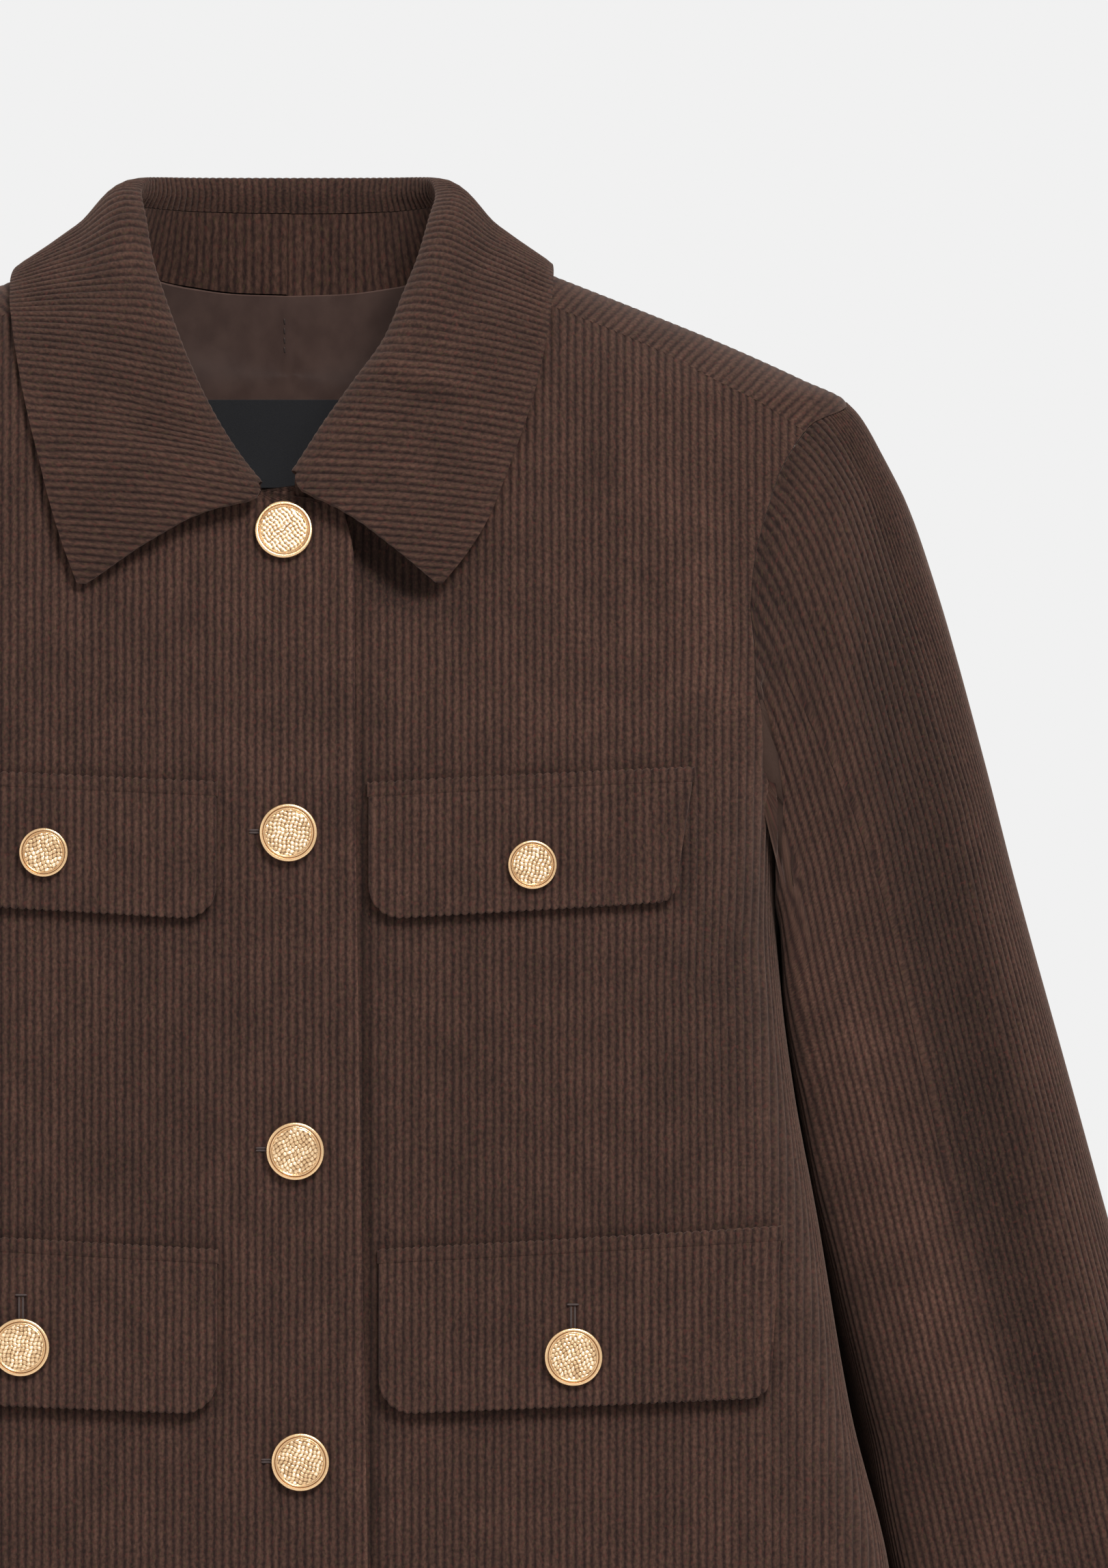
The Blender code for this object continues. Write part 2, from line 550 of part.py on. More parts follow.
def collar_frames(rows):
    """Where each row of the collar leaves the neckline, and how it turns over.

    Returns the neckline, its wall's inward direction, the fold, the outer edge,
    the leaf's outward direction, the direction from the leaf up to the fold, the
    stand's top, the direction from the neckline to it, and the stand's outward
    direction.
    """
    fold, edge = rows[:, 1:4], rows[:, 4:7]
    neck, wall_in = on_body(neckline(rows[:, 7]))
    side = np.where(rows[:, 7] < 0, -1, 1)
    neck = neck - wall_in * lap(neck[:, 0], side)[:, None]
    along = np.gradient(fold, axis=0)
    leaf_out = unit(np.cross(along, edge - fold))
    leaf_out *= np.sign(leaf_out[:, 2:3] + 1e-9)
    to_fold = unit(np.cross(along, leaf_out))
    to_fold *= np.sign(np.einsum("ij,ij->i", to_fold, fold - edge))[:, None]
    stand_top = fold - (leaf_out + to_fold) * FOLD_RADIUS + leaf_out * CLOTH
    rise = unit(stand_top - neck)
    stand_out = unit(np.cross(along, rise))
    stand_out *= np.sign(np.einsum("ij,ij->i", stand_out, leaf_out))[:, None]
    return neck, wall_in, fold, edge, leaf_out, to_fold, stand_top, rise, stand_out


def collar_stand(rows):
    neck, wall_in, _, _, _, _, stand_top, rise, stand_out = collar_frames(rows)
    start = neck + rise * STAND_CLEAR
    top = blend(neck, stand_top, STAND_SHARE)
    outer = np.stack([blend(start, top, share) for share in (0.0, 0.45, 1.0)])
    inward = np.stack([unit(wall_in - stand_out), -stand_out, -stand_out])
    return outer, inward


def leaf_controls(rows):
    """Six points across the leaf's face, from the stand, over the fold, to the edge."""
    neck, _, fold, edge, leaf_out, to_fold, stand_top, rise, stand_out = collar_frames(rows)
    seam = blend(neck, stand_top, STAND_SHARE) - stand_out * CLOTH + rise * SEAM
    inside = stand_top - leaf_out * CLOTH
    over = fold + (leaf_out - to_fold) * FOLD_RADIUS
    flat = np.exp(-(((rows[:, 0] - LEAF_FLAT[0]) / LEAF_FLAT[1]) ** 2))
    middle = (over + edge) / 2 + leaf_out * (LEAF_BULGE * (1 - 0.95 * flat))[:, None]
    return np.stack([seam, inside, fold, over, middle, edge])


def leaf_face(controls, places):
    """Points of the leaf's face at places from 0 to 1, by a cubic through the controls."""
    knots = np.array(LEAF_KNOTS)
    rate = np.gradient(controls, knots, axis=0)
    i = np.clip(np.searchsorted(knots, places, side="right") - 1, 0, len(knots) - 2)
    step = knots[i + 1] - knots[i]
    t = ((places - knots[i]) / step)[..., None]
    step = step[..., None]
    column = np.arange(controls.shape[1])
    a, b, ra, rb = controls[i, column], controls[i + 1, column], rate[i, column], rate[i + 1, column]
    return (
        a * (1 + 2 * t) * (1 - t) ** 2 + b * t * t * (3 - 2 * t)
        + step * (ra * t * (1 - t) ** 2 - rb * t * t * (1 - t))
    )


def leaf_inward(face, reference):
    """Directions from the leaf's face into its wall, away from the reference direction."""
    normal = unit(np.cross(np.gradient(face, axis=1), np.gradient(face, axis=0)))
    facing = np.einsum("ij,ij->i", normal[-2], reference)
    return normal if np.sum(facing) < 0 else -normal


def collar_leaf(rows):
    """The leaf's grids: the part that turns over the fold, and the wedge at each point."""
    controls = leaf_controls(rows)
    leaf_out, stand_out = collar_frames(rows)[4], collar_frames(rows)[-1]
    outside = np.linspace(LEAF_OVER, 1, 6)
    places = np.concatenate([LEAF_INSIDE, outside])
    face = leaf_face(controls, np.broadcast_to(places[:, None], (len(places), len(rows))))
    inward = leaf_inward(face, leaf_out)
    inward[0] = stand_out
    # Past the fold's end the leaf starts at its front edge
    share = (outside[:, None] - LEAF_OVER) / (1 - LEAF_OVER)
    wedge = leaf_face(controls, blend(LEAF_OVER + (1 - LEAF_OVER) * rows[:, 8], 1, share))
    wedge_inward = leaf_inward(wedge, leaf_out)
    main = np.flatnonzero(np.abs(rows[:, 8]) < 0.001)
    low, high = main[0], main[-1]
    for column in (low, high):
        wedge_inward[:, column] = inward[len(LEAF_INSIDE):, column]
    return [
        (face[:, low:high + 1], inward[:, low:high + 1]),
        (wedge[:, :low + 1], wedge_inward[:, :low + 1]),
        (wedge[:, high:], wedge_inward[:, high:]),
    ]


# ---- What lies on the panels -------------------------------------------------


def lap(x, side):
    """How far the front of this side stands out from the form at x."""
    return -side * LAYER / 2 * ease((LAP_FROM - side * x) / LAP_OVER)


def on_front(x, z, out, side):
    """Points and inward directions of the front's face at x, z, moved out by out."""
    turn = turn_at(x, z)
    normal = torso_normal(turn, z)
    return torso(turn, z) + normal * (out + lap(x, side))[..., None], -normal


def flap_shape(kind, side):
    """The flap's row of sizes, in metres, with its ends across where this side's lie."""
    *sizes, shift = (value * MM for value in FLAPS[kind])
    if side < 0:
        sizes[0] -= shift
        sizes[1] -= shift
    return sizes


def flap_lift(x, share):
    """How far a flap's face stands out from the panel at x and a share of its height."""
    curve = ease((x - FLAP_CURVE_FROM) / FLAP_CURVE_OVER)
    return POCKET_CLEAR + FLAP_CURVE * curve + FLAP_STAND_OFF * share ** 2 + FLAP_WALL


def flap(kind, side):
    x0, x1, top0, top1, height0, height1, radius, slant = flap_shape(kind, side)
    columns = np.array([0, 0.025, 0.08, 0.2, 0.36, 0.52, 0.68, 0.8, 0.9, 0.965, 1.0])
    x = blend(x0, x1, columns)
    top = blend(top0, top1, columns)
    near = np.maximum(radius - np.minimum(x - x0, x1 - x), 0)
    bottom = top - blend(height0, height1, columns) + radius - np.sqrt(radius ** 2 - near ** 2)
    rows = np.array([0, 0.4, 1.0])[:, None]
    z = top + (bottom - top) * rows
    x = x - slant * rows * columns ** 2
    return on_front(side * x, z, flap_lift(x, rows), side)


def welt(kind, side):
    x0, x1, top0, top1 = flap_shape(kind, side)[:4]
    columns = np.linspace(0, 1, 10)
    x = blend(x0 - 0.5 * MM, x1 + 1 * MM, columns)
    low = blend(top0, top1, columns) + SEAM
    z = np.stack([low + WELT_HEIGHT, low])
    x = np.broadcast_to(x, z.shape)
    out = flap_lift(x, 0.0) - FLAP_WALL + WELT_WALL
    return on_front(side * x, z, out, side)


def neck_label():
    """The label's grid, inside the lining, on the form's back moved in."""
    x = np.linspace(*LABEL_X, 5)[None]
    z = np.linspace(LABEL_Z[1], LABEL_Z[0], 3)[:, None]
    x, z = np.broadcast_arrays(x, z)
    half_width, back, power = (smooth(z / MM, BODY, column) for column in (1, 3, 4))
    y = back * (1 - (np.abs(x / MM) / half_width) ** power) ** (1 / power)
    turn = np.where(x < 0, -1, 1) * np.degrees(np.arctan2(np.abs(x / MM), -y))
    normal = torso_normal(turn, z)
    return torso(turn, z) - normal * LABEL_DEPTH, -normal


def neck_lining():
    """The lining's two halves, from below the neck seam, hanging inside the back."""
    row = np.linspace(0, 1, 8)[:, None]
    share = np.linspace(0, 1, 6)[None]
    edge = to_share(blend(*LINING_TURNS, row))
    turn = to_turn(blend(edge, 2.0, share))
    top = smooth(turn, NECKLINE, 1) * MM - LINING_BELOW
    z = blend(top, LINING_BOTTOM_Z, row)
    normal = torso_normal(turn, z)
    half = (torso(turn, z) - normal * (CLOTH + LINING_GAP), -normal)
    return [half, mirrored(half)]


def button(name, centre, normal, radius, finish):
    """A turned metal button: shank, back, rounded rim and a slightly domed face."""
    normal = unit(np.asarray(normal))
    across = unit(np.cross((0, 0, 1.0), normal))
    up = np.cross(normal, across)
    points, rings = [], []
    for share, height in BUTTON_SECTION:
        base = centre + normal * height * MM
        if share == 0:
            rings.append([len(points)])
            points.append(base)
            continue
        rings.append(list(range(len(points), len(points) + BUTTON_SIDES)))
        for k in range(BUTTON_SIDES):
            angle = math.tau * k / BUTTON_SIDES
            points.append(base + radius * share * (across * math.cos(angle) + up * math.sin(angle)))
    faces = []
    for low, high in zip(rings[:-1], rings[1:]):
        for k in range(BUTTON_SIDES):
            after = (k + 1) % BUTTON_SIDES
            if len(low) == 1:
                faces.append([low[0], high[after], high[k]])
            elif len(high) == 1:
                faces.append([low[k], low[after], high[0]])
            else:
                faces.append([low[k], low[after], high[after], high[k]])
    return add_mesh(name, points, faces, finish)


def build():
    for left_over in list(bpy.data.objects):
        bpy.data.objects.remove(left_over, do_unlink=True)
    corduroy = material("brown_corduroy", (0.082, 0.045, 0.033), 0.9)
    satin = material("brown_satin", (0.06, 0.038, 0.031), 0.4)
    ribbon = material("black_ribbon", (0.012, 0.012, 0.013), 0.6)
    gold = material("pale_gold", (0.83, 0.60, 0.36), 0.28, 1.0)

    wall("front_left", [front_panel(1)], corduroy)
    wall("front_right", [front_panel(-1)], corduroy)
    wall("back", back_panel(), corduroy)
    sleeve = sleeve_panel()
    wall("sleeve_left", [sleeve], corduroy, ring=True)
    wall("sleeve_right", [mirrored(sleeve)], corduroy, ring=True)
    rows = collar_rows(13, 3)
    stand_rows = rows[(rows[:, 8] < 0.001)]
    wall("collar_stand", [collar_stand(stand_rows)], corduroy)
    wall("collar_leaf", collar_leaf(rows), corduroy)
    wall("neck_lining", neck_lining(), satin, SATIN)
    wall("neck_label", [neck_label()], ribbon, SATIN)

    for side, word in ((1, "left"), (-1, "right")):
        for kind in FLAPS:
            wall(f"flap_{kind}_{word}", [flap(kind, side)], corduroy, FLAP_WALL)
            wall(f"welt_{kind}_{word}", [welt(kind, side)], corduroy, WELT_WALL)
    for number, (x, z) in enumerate(FRONT_BUTTONS, start=1):
        at = np.array([x * MM]), np.array([z * MM])
        point, inward = on_front(*at, np.zeros(1), -1)
        button(f"button_front_{number}", point[0], -inward[0], FRONT_BUTTON_R, gold)
    for kind, (left, right, radius) in FLAP_BUTTONS.items():
        for side, word, (x, z) in ((1, "left", left), (-1, "right", right)):
            _, _, top0, top1, height0, height1, _, _ = flap_shape(kind, side)
            share = (top0 + top1 - 2 * z * MM) / (height0 + height1)
            out = flap_lift(np.array([abs(x) * MM]), share)
            point, inward = on_front(np.array([x * MM]), np.array([z * MM]), out, side)
            button(f"button_{kind}_{word}", point[0], -inward[0], radius, gold)


build()
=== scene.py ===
"""Corduroy jacket, filled out as if worn: the visual model and its studio.

The body is one form, a superellipse at each height, and each panel is woven on
it: its columns follow the corduroy's wales and its rows are cut at the seams.
Metres, +Z up; the front faces -Y and +X is the wearer's left.
"""

import logging
import math
from collections.abc import Callable
from dataclasses import dataclass, field
from enum import Enum
from functools import partial

import bmesh
import bpy
import numpy as np
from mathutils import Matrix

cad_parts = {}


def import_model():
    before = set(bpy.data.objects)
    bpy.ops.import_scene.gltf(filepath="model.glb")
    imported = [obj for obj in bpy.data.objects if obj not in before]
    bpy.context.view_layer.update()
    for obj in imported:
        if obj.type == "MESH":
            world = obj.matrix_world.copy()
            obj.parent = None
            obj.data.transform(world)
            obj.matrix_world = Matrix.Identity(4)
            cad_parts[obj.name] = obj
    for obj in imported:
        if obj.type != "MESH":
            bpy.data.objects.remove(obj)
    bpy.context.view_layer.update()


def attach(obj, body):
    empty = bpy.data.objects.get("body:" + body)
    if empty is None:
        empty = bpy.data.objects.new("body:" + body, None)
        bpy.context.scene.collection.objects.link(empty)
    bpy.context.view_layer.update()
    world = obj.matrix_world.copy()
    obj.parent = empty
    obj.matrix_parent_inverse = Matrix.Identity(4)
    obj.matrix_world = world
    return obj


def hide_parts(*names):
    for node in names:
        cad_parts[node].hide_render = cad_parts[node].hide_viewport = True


LOG = logging.getLogger("jacket")
MM = 0.001
Array = np.ndarray
Socket = bpy.types.NodeSocket
Value = float | tuple[float, ...] | Socket
Surface = Callable[[Array, Array], tuple[Array, Array, Array]]
Line = Callable[[Array, Array], Array]


# ---- Numbers and curves --------------------------------------------------------


def ease(value: Array) -> Array:
    """0 below 0, 1 above 1, and a soft S between."""
    value = np.clip(value, 0.0, 1.0)
    return value * value * (3 - 2 * value)


def unit(vectors: Array) -> Array:
    """Vectors of length 1 along the last axis."""
    return vectors / np.maximum(np.linalg.norm(vectors, axis=-1, keepdims=True), 1e-12)


def blend(a: Array, b: Array, share: Array) -> Array:
    """From a at share 0 to b at share 1."""
    return a + (b - a) * share


def hermite(ends: tuple[Array, Array], rates: tuple[Array, Array], step: Array, t: Array) -> Array:
    """Cubic between two ends with their rates, at the share t of the step between them."""
    return (
        ends[0] * (1 + 2 * t) * (1 - t) ** 2 + ends[1] * t * t * (3 - 2 * t)
        + step * (rates[0] * t * (1 - t) ** 2 - rates[1] * t * t * (1 - t))
    )


def bilinear(table: Array, row: Array, column: Array) -> Array:
    """Table values at fractional rows and columns, held inside the table."""
    row = np.clip(row, 0, table.shape[0] - 1.001)
    column = np.clip(column, 0, table.shape[1] - 1.001)
    i, j = row.astype(int), column.astype(int)
    s, t = row - i, column - j
    return (
        (table[i, j] * (1 - t) + table[i, j + 1] * t) * (1 - s)
        + (table[i + 1, j] * (1 - t) + table[i + 1, j + 1] * t) * s
    )


def smooth(at: Array, table: Array, column: int, start: int = 0) -> Array:
    """A table's column at places along its start column, by a monotone cubic.

    Args:
        at: places, in the units of the start column, which rises.
        table: rows of numbers.
        column: the column wanted.
        start: the column that the places are read along.

    Returns:
        Values of the shape of at, held at the ends.
    """
    x, y = table[:, start], table[:, column]
    step = np.diff(x)
    slope = np.diff(y) / step
    w1, w2 = 2 * step[1:] + step[:-1], step[1:] + 2 * step[:-1]
    same = slope[1:] * slope[:-1] > 0
    before, after = np.where(same, slope[:-1], 1.0), np.where(same, slope[1:], 1.0)
    middle = np.where(same, (w1 + w2) / (w1 / before + w2 / after), 0.0)
    rate = np.concatenate([slope[:1], middle, slope[-1:]])
    at = np.clip(at, x[0], x[-1])
    i = np.clip(np.searchsorted(x, at, side="right") - 1, 0, len(x) - 2)
    t = (at - x[i]) / step[i]
    return hermite((y[i], y[i + 1]), (rate[i], rate[i + 1]), step[i], t)


def wander(at: Array, seed: float) -> Array:
    """A smooth irregular value between about -1 and 1, a sum of three sines."""
    return (
        np.sin(at * 1.0 + seed * 5.1) + np.sin(at * 2.3 + seed * 1.7) * 0.6
        + np.sin(at * 4.1 + seed * 3.3) * 0.35
    ) / 1.95


def lengths(points: Array) -> Array:
    """Distance along a line of points, from its first."""
    return np.concatenate([[0], np.cumsum(np.linalg.norm(np.diff(points, axis=0), axis=1))])


# ---- The jacket's tables -------------------------------------------------------

HEM_Z = -600 * MM
UNDERARM_Z = -221 * MM
SIDE_LEAN = 0.07
LAYER = 2.3 * MM
SEAM = 0.3 * MM
LAP_FROM = 62 * MM
LAP_OVER = 28 * MM
FRONT_EDGE_UNDER = -20 * MM
FRONT_TOP_Z = -83.5 * MM

# Height, half width, front depth, back depth (mm) and the outline's exponent
BODY = np.array([
    (24.0, 40.0, 16.0, 34.0, 2.2),
    (9.5, 71.0, 26.0, 40.0, 2.2),
    (0.0, 95.5, 34.0, 46.0, 2.3),
    (-13.0, 128.5, 43.0, 52.0, 2.4),
    (-25.0, 158.0, 50.0, 57.0, 2.5),
    (-38.5, 188.0, 57.0, 62.0, 2.7),
    (-46.5, 204.0, 60.0, 65.0, 2.8),
    (-70.0, 212.0, 69.0, 73.0, 3.0),
    (-110.0, 206.0, 78.0, 84.0, 3.2),
    (-150.0, 194.0, 86.0, 92.0, 3.5),
    (-180.0, 185.5, 91.0, 97.0, 3.8),
    (-212.0, 179.0, 94.0, 99.0, 4.0),
    (-262.0, 181.2, 94.0, 97.0, 4.1),
    (-298.0, 185.4, 92.7, 95.3, 4.1),
    (-345.0, 194.0, 91.0, 93.0, 4.1),
    (-417.0, 206.5, 92.0, 94.0, 4.0),
    (-474.0, 220.5, 95.0, 98.0, 3.9),
    (-600.0, 234.0, 101.0, 104.0, 3.7),
])[::-1]

# Neckline: direction from the middle (degrees from centre front) and height (mm)
NECKLINE = np.array([
    (-40.0, -84.0), (0.0, -83.0), (6.0, -82.0), (12.0, -79.5), (17.0, -73.0),
    (26.0, -60.0), (37.5, -43.0), (46.7, -27.0), (56.3, -13.0), (68.0, 0.0),
    (79.0, 6.5), (90.0, 9.5), (104.0, 8.0), (121.0, 2.0), (139.0, -4.0),
    (158.0, -6.8), (180.0, -7.5),
])
NECK_SEAM_TURN = 68.0

# Shoulder seam, across and up (mm), from the neck to the armhole
SHOULDER_SEAM = np.array([
    (66.3, 0.0), (96.5, -12.0), (119.0, -21.0), (138.5, -29.5), (158.0, -40.0),
    (174.0, -48.0), (189.0, -58.0),
])

# Armhole, across and up (mm), from the shoulder tip to the underarm
ARMHOLE = np.array([
    (204.0, -46.5), (193.0, -54.0), (189.0, -58.0), (181.0, -70.0), (176.0, -84.0),
    (172.0, -98.0), (169.5, -113.5), (169.0, -125.5), (170.0, -135.0), (171.0, -150.0),
    (172.5, -158.0), (175.0, -176.0), (176.6, -193.0), (178.2, -208.0), (179.2, -217.0),
    (179.9, -221.0),
])
ARMHOLE_SEAM_ROW = 2
BACK_ARMHOLE_IN = 4 * MM

# Front edge of the lapping front: height and place across (mm)
FRONT_EDGE = np.array([
    (-600.0, 31.0), (-474.0, 29.0), (-330.0, 26.5), (-187.0, 24.5), (-105.0, 24.0), (-83.0, 19.0),
])

# Sleeve: place along it, outer edge x and z, inner edge x and z, middle y, half depth
# (mm), exponent of the half towards the body, lean of its front corner (mm)
SLEEVE = np.array([
    (0.000, 204.0, -46.5, 181.0, -221.0, 0.0, 60.0, 2.6, 0.0),
    (0.011, 208.5, -51.0, 181.0, -223.0, 1.5, 60.0, 2.6, -1.0),
    (0.036, 216.5, -63.0, 180.6, -226.0, 4.0, 60.0, 2.7, -3.0),
    (0.068, 225.5, -80.0, 180.6, -231.0, 7.0, 60.0, 3.0, -3.0),
    (0.129, 237.0, -113.5, 181.6, -242.0, 11.0, 60.0, 4.0, -2.0),
    (0.240, 254.5, -176.0, 181.6, -260.0, 16.0, 59.5, 5.0, -1.0),
    (0.327, 267.0, -225.0, 183.6, -279.0, 19.0, 59.0, 5.0, -1.3),
    (0.450, 286.0, -294.0, 191.2, -332.0, 21.0, 57.5, 5.0, 0.1),
    (0.540, 300.0, -345.0, 196.4, -377.0, 21.0, 56.0, 5.0, 6.5),
    (0.600, 309.0, -377.0, 202.4, -408.0, 19.3, 54.8, 5.0, 9.0),
    (0.656, 318.0, -410.0, 209.5, -440.0, 17.0, 53.5, 4.6, 7.5),
    (0.769, 335.0, -474.0, 223.0, -504.0, 11.0, 51.0, 4.2, 6.0),
    (0.885, 352.0, -540.0, 240.0, -568.0, 2.0, 48.0, 3.6, 4.0),
    (1.000, 366.0, -605.0, 264.0, -633.0, -8.0, 45.0, 3.0, 2.0),
])
SLEEVE_CAP = 0.30
SLEEVE_EXPONENT = 2.6
INNER_EXPONENT = 6.0
# Place along the sleeve, and how far it rises over its seam and stands out, under the arm
UNDERARM_TURN = np.array([
    (0.0, 0.0, 0.0), (0.006, 1.8, 0.3), (0.012, 2.2, 1.0), (0.02, 2.0, 1.8), (0.03, 1.5, 2.4),
    (0.07, 0.6, 2.6),
])
SLEEVE_LENGTH = 584 * MM

# Collar, wearer's left: place round it, fold x, y, z, outer edge x, y, z,
# neckline direction (degrees), share of the wale cut off by the front edge
COLLAR_LEFT = np.array([
    (0.00, 0.0, 50.0, 36.0, 0.0, 63.0, -24.0, 180.0, 0.00),
    (0.12, 25.0, 47.0, 36.0, 35.0, 61.0, -23.0, 152.0, 0.00),
    (0.24, 42.0, 36.0, 36.0, 66.0, 52.0, -17.0, 131.0, 0.00),
    (0.35, 51.0, 21.0, 35.5, 90.0, 38.0, -5.5, 112.0, 0.00),
    (0.44, 53.5, 6.0, 29.5, 96.5, 6.0, 4.0, 95.0, 0.00),
    (0.53, 51.0, -10.0, 20.5, 97.0, -14.0, 1.0, 80.0, 0.00),
    (0.61, 47.0, -24.0, 6.5, 96.5, -32.0, -8.0, 68.0, 0.00),
    (0.69, 42.0, -35.0, -6.0, 95.5, -42.0, -17.0, 55.0, 0.00),
    (0.77, 35.0, -47.0, -23.0, 93.0, -53.0, -31.0, 44.0, 0.00),
    (0.85, 23.0, -57.0, -40.0, 89.0, -62.5, -47.0, 32.0, 0.00),
    (0.92, 13.0, -64.5, -54.0, 84.0, -68.5, -62.0, 20.0, 0.00),
    (1.00, 1.0, -73.0, -72.5, 78.0, -75.0, -78.0, 3.0, 0.00),
    (1.07, -8.0, -79.0, -85.0, 73.0, -79.5, -90.0, 3.0, 0.32),
    (1.15, -19.0, -86.0, -99.0, 65.0, -83.0, -103.0, 3.0, 0.68),
    (1.23, -28.0, -92.0, -110.0, 56.5, -84.5, -113.5, 3.0, 0.97),
])
COLLAR_RIGHT = np.array([
    (0.00, 0.0, 50.0, 36.0, 0.0, 63.0, -24.0, 180.0, 0.00),
    (0.12, -25.0, 47.0, 36.0, -35.0, 61.0, -23.0, 152.0, 0.00),
    (0.24, -43.0, 36.0, 36.0, -66.0, 52.0, -17.0, 131.0, 0.00),
    (0.35, -52.0, 21.0, 35.5, -91.0, 38.0, -5.5, 112.0, 0.00),
    (0.44, -54.5, 6.0, 31.0, -98.0, 7.0, 4.0, 95.0, 0.00),
    (0.53, -52.5, -10.0, 20.5, -101.5, -7.0, 1.5, 80.0, 0.00),
    (0.61, -50.0, -24.0, 6.0, -102.5, -19.0, -3.0, 68.0, 0.00),
    (0.69, -45.5, -35.0, -8.0, -102.5, -30.5, -9.0, 55.0, 0.00),
    (0.77, -38.5, -48.0, -27.0, -101.5, -42.5, -19.0, 44.0, 0.00),
    (0.85, -30.0, -58.0, -46.0, -99.0, -55.0, -35.0, 32.0, 0.00),
    (0.92, -20.0, -65.5, -63.0, -95.5, -64.5, -52.0, 20.0, 0.00),
    (1.00, -9.5, -75.0, -76.5, -91.5, -71.5, -68.0, 9.0, 0.00),
    (1.07, 3.0, -81.5, -89.0, -88.0, -76.5, -82.0, 9.0, 0.35),
    (1.15, 18.0, -86.5, -105.0, -83.5, -80.5, -97.0, 9.0, 0.69),
    (1.23, 33.0, -90.0, -121.0, -77.5, -82.5, -113.5, 9.0, 0.97),
])

# Flaps, wearer's left: x from and to, top z, heights, all from the middle outwards,
# corner radius, how far the outer end leans in, and how much nearer the middle the
# wearer's right one lies (mm)
FLAPS = {
    "chest": (29.3, 147.0, -191.8, -186.2, 44.8, 43.6, 12.5, 6.5, 3.0),
    "hip": (33.0, 178.0, -362.3, -354.3, 55.2, 57.2, 13.0, 4.0, 7.0),
}

STAND_OFF = {"chest": 1.7 * MM, "hip": 2.8 * MM}

# The sides, by the sign of x
WORDS = {1: "left", -1: "right"}

# Buttons: across and up (mm)
FRONT_BUTTONS = ((-1.75, -94.75), (0.0, -205.0), (2.5, -321.0), (4.4, -435.0), (6.3, -549.0))
FRONT_BUTTON_R = 10.65 * MM
FLAP_BUTTONS = {
    "chest": ((88.8, -216.5), (-89.0, -212.0), 9.0 * MM),
    "hip": ((103.8, -396.5), (-97.5, -393.0), 10.65 * MM),
}


# ---- The body's form -----------------------------------------------------------


class Body:
    """The form that every body panel lies on.

    At height z the outline is a superellipse in polar form: with a the angle from
    centre front, r = (|sin a / A|^n + |cos a / B|^n)^(-1/n), where A is the half
    width, B the front or the back depth and n the exponent. Below the chest the
    sides lean in towards the back.
    """

    @staticmethod
    def point(turn: Array, z: Array) -> Array:
        """Point in direction turn (degrees from centre front) at height z.

        Args:
            turn: directions (degrees from centre front).
            z: heights (m).

        Returns:
            Points, with x, y and z last.
        """
        angle = np.radians(np.abs(turn))
        half_width, front, back, power = (smooth(z / MM, BODY, column) for column in (1, 2, 3, 4))
        depth = np.where(angle < math.pi / 2, front, back)
        reach = ((np.abs(np.sin(angle)) / half_width) ** power
                 + (np.abs(np.cos(angle)) / depth) ** power) ** (-1 / power) * MM
        x, y = reach * np.sin(angle), -reach * np.cos(angle)
        lean = SIDE_LEAN * ease((-100 * MM - z) / (110 * MM))
        x = x * (1 - lean * ease((y + 40 * MM) / (120 * MM)))
        return np.stack([x * np.sign(turn), y, z + 0 * x], axis=-1)

    @classmethod
    def normal(cls, turn: Array, z: Array) -> Array:
        """Outward normal, from small steps round and up."""
        small_turn, small_z = 0.05, 0.1 * MM
        across = cls.point(turn + small_turn, z) - cls.point(turn - small_turn, z)
        up = cls.point(turn, z + small_z) - cls.point(turn, z - small_z)
        return unit(np.cross(across, up))

    @staticmethod
    def turn_at(x: Array, z: Array, back: bool = False) -> Array:
        """Direction of the point of the front, or of the back, that is x across."""
        half_width, depth, power = (smooth(z / MM, BODY, c) for c in (1, 3 if back else 2, 4))
        share = np.clip(np.abs(x / MM) / half_width, 0, 1)
        y = depth * (1 - share ** power) ** (1 / power)
        turn = np.degrees(np.arctan2(np.abs(x / MM), y))
        return np.where(x < 0, -1, 1) * (180 - turn if back else turn)

    @staticmethod
    def ridge(x: Array) -> Array:
        """Height of the shoulder's top at x across, where the half width is x."""
        z = np.linspace(-46.5, 23.9, 400)
        width = smooth(z, BODY, 1)
        return np.interp(x / MM, width[::-1], z[::-1]) * MM


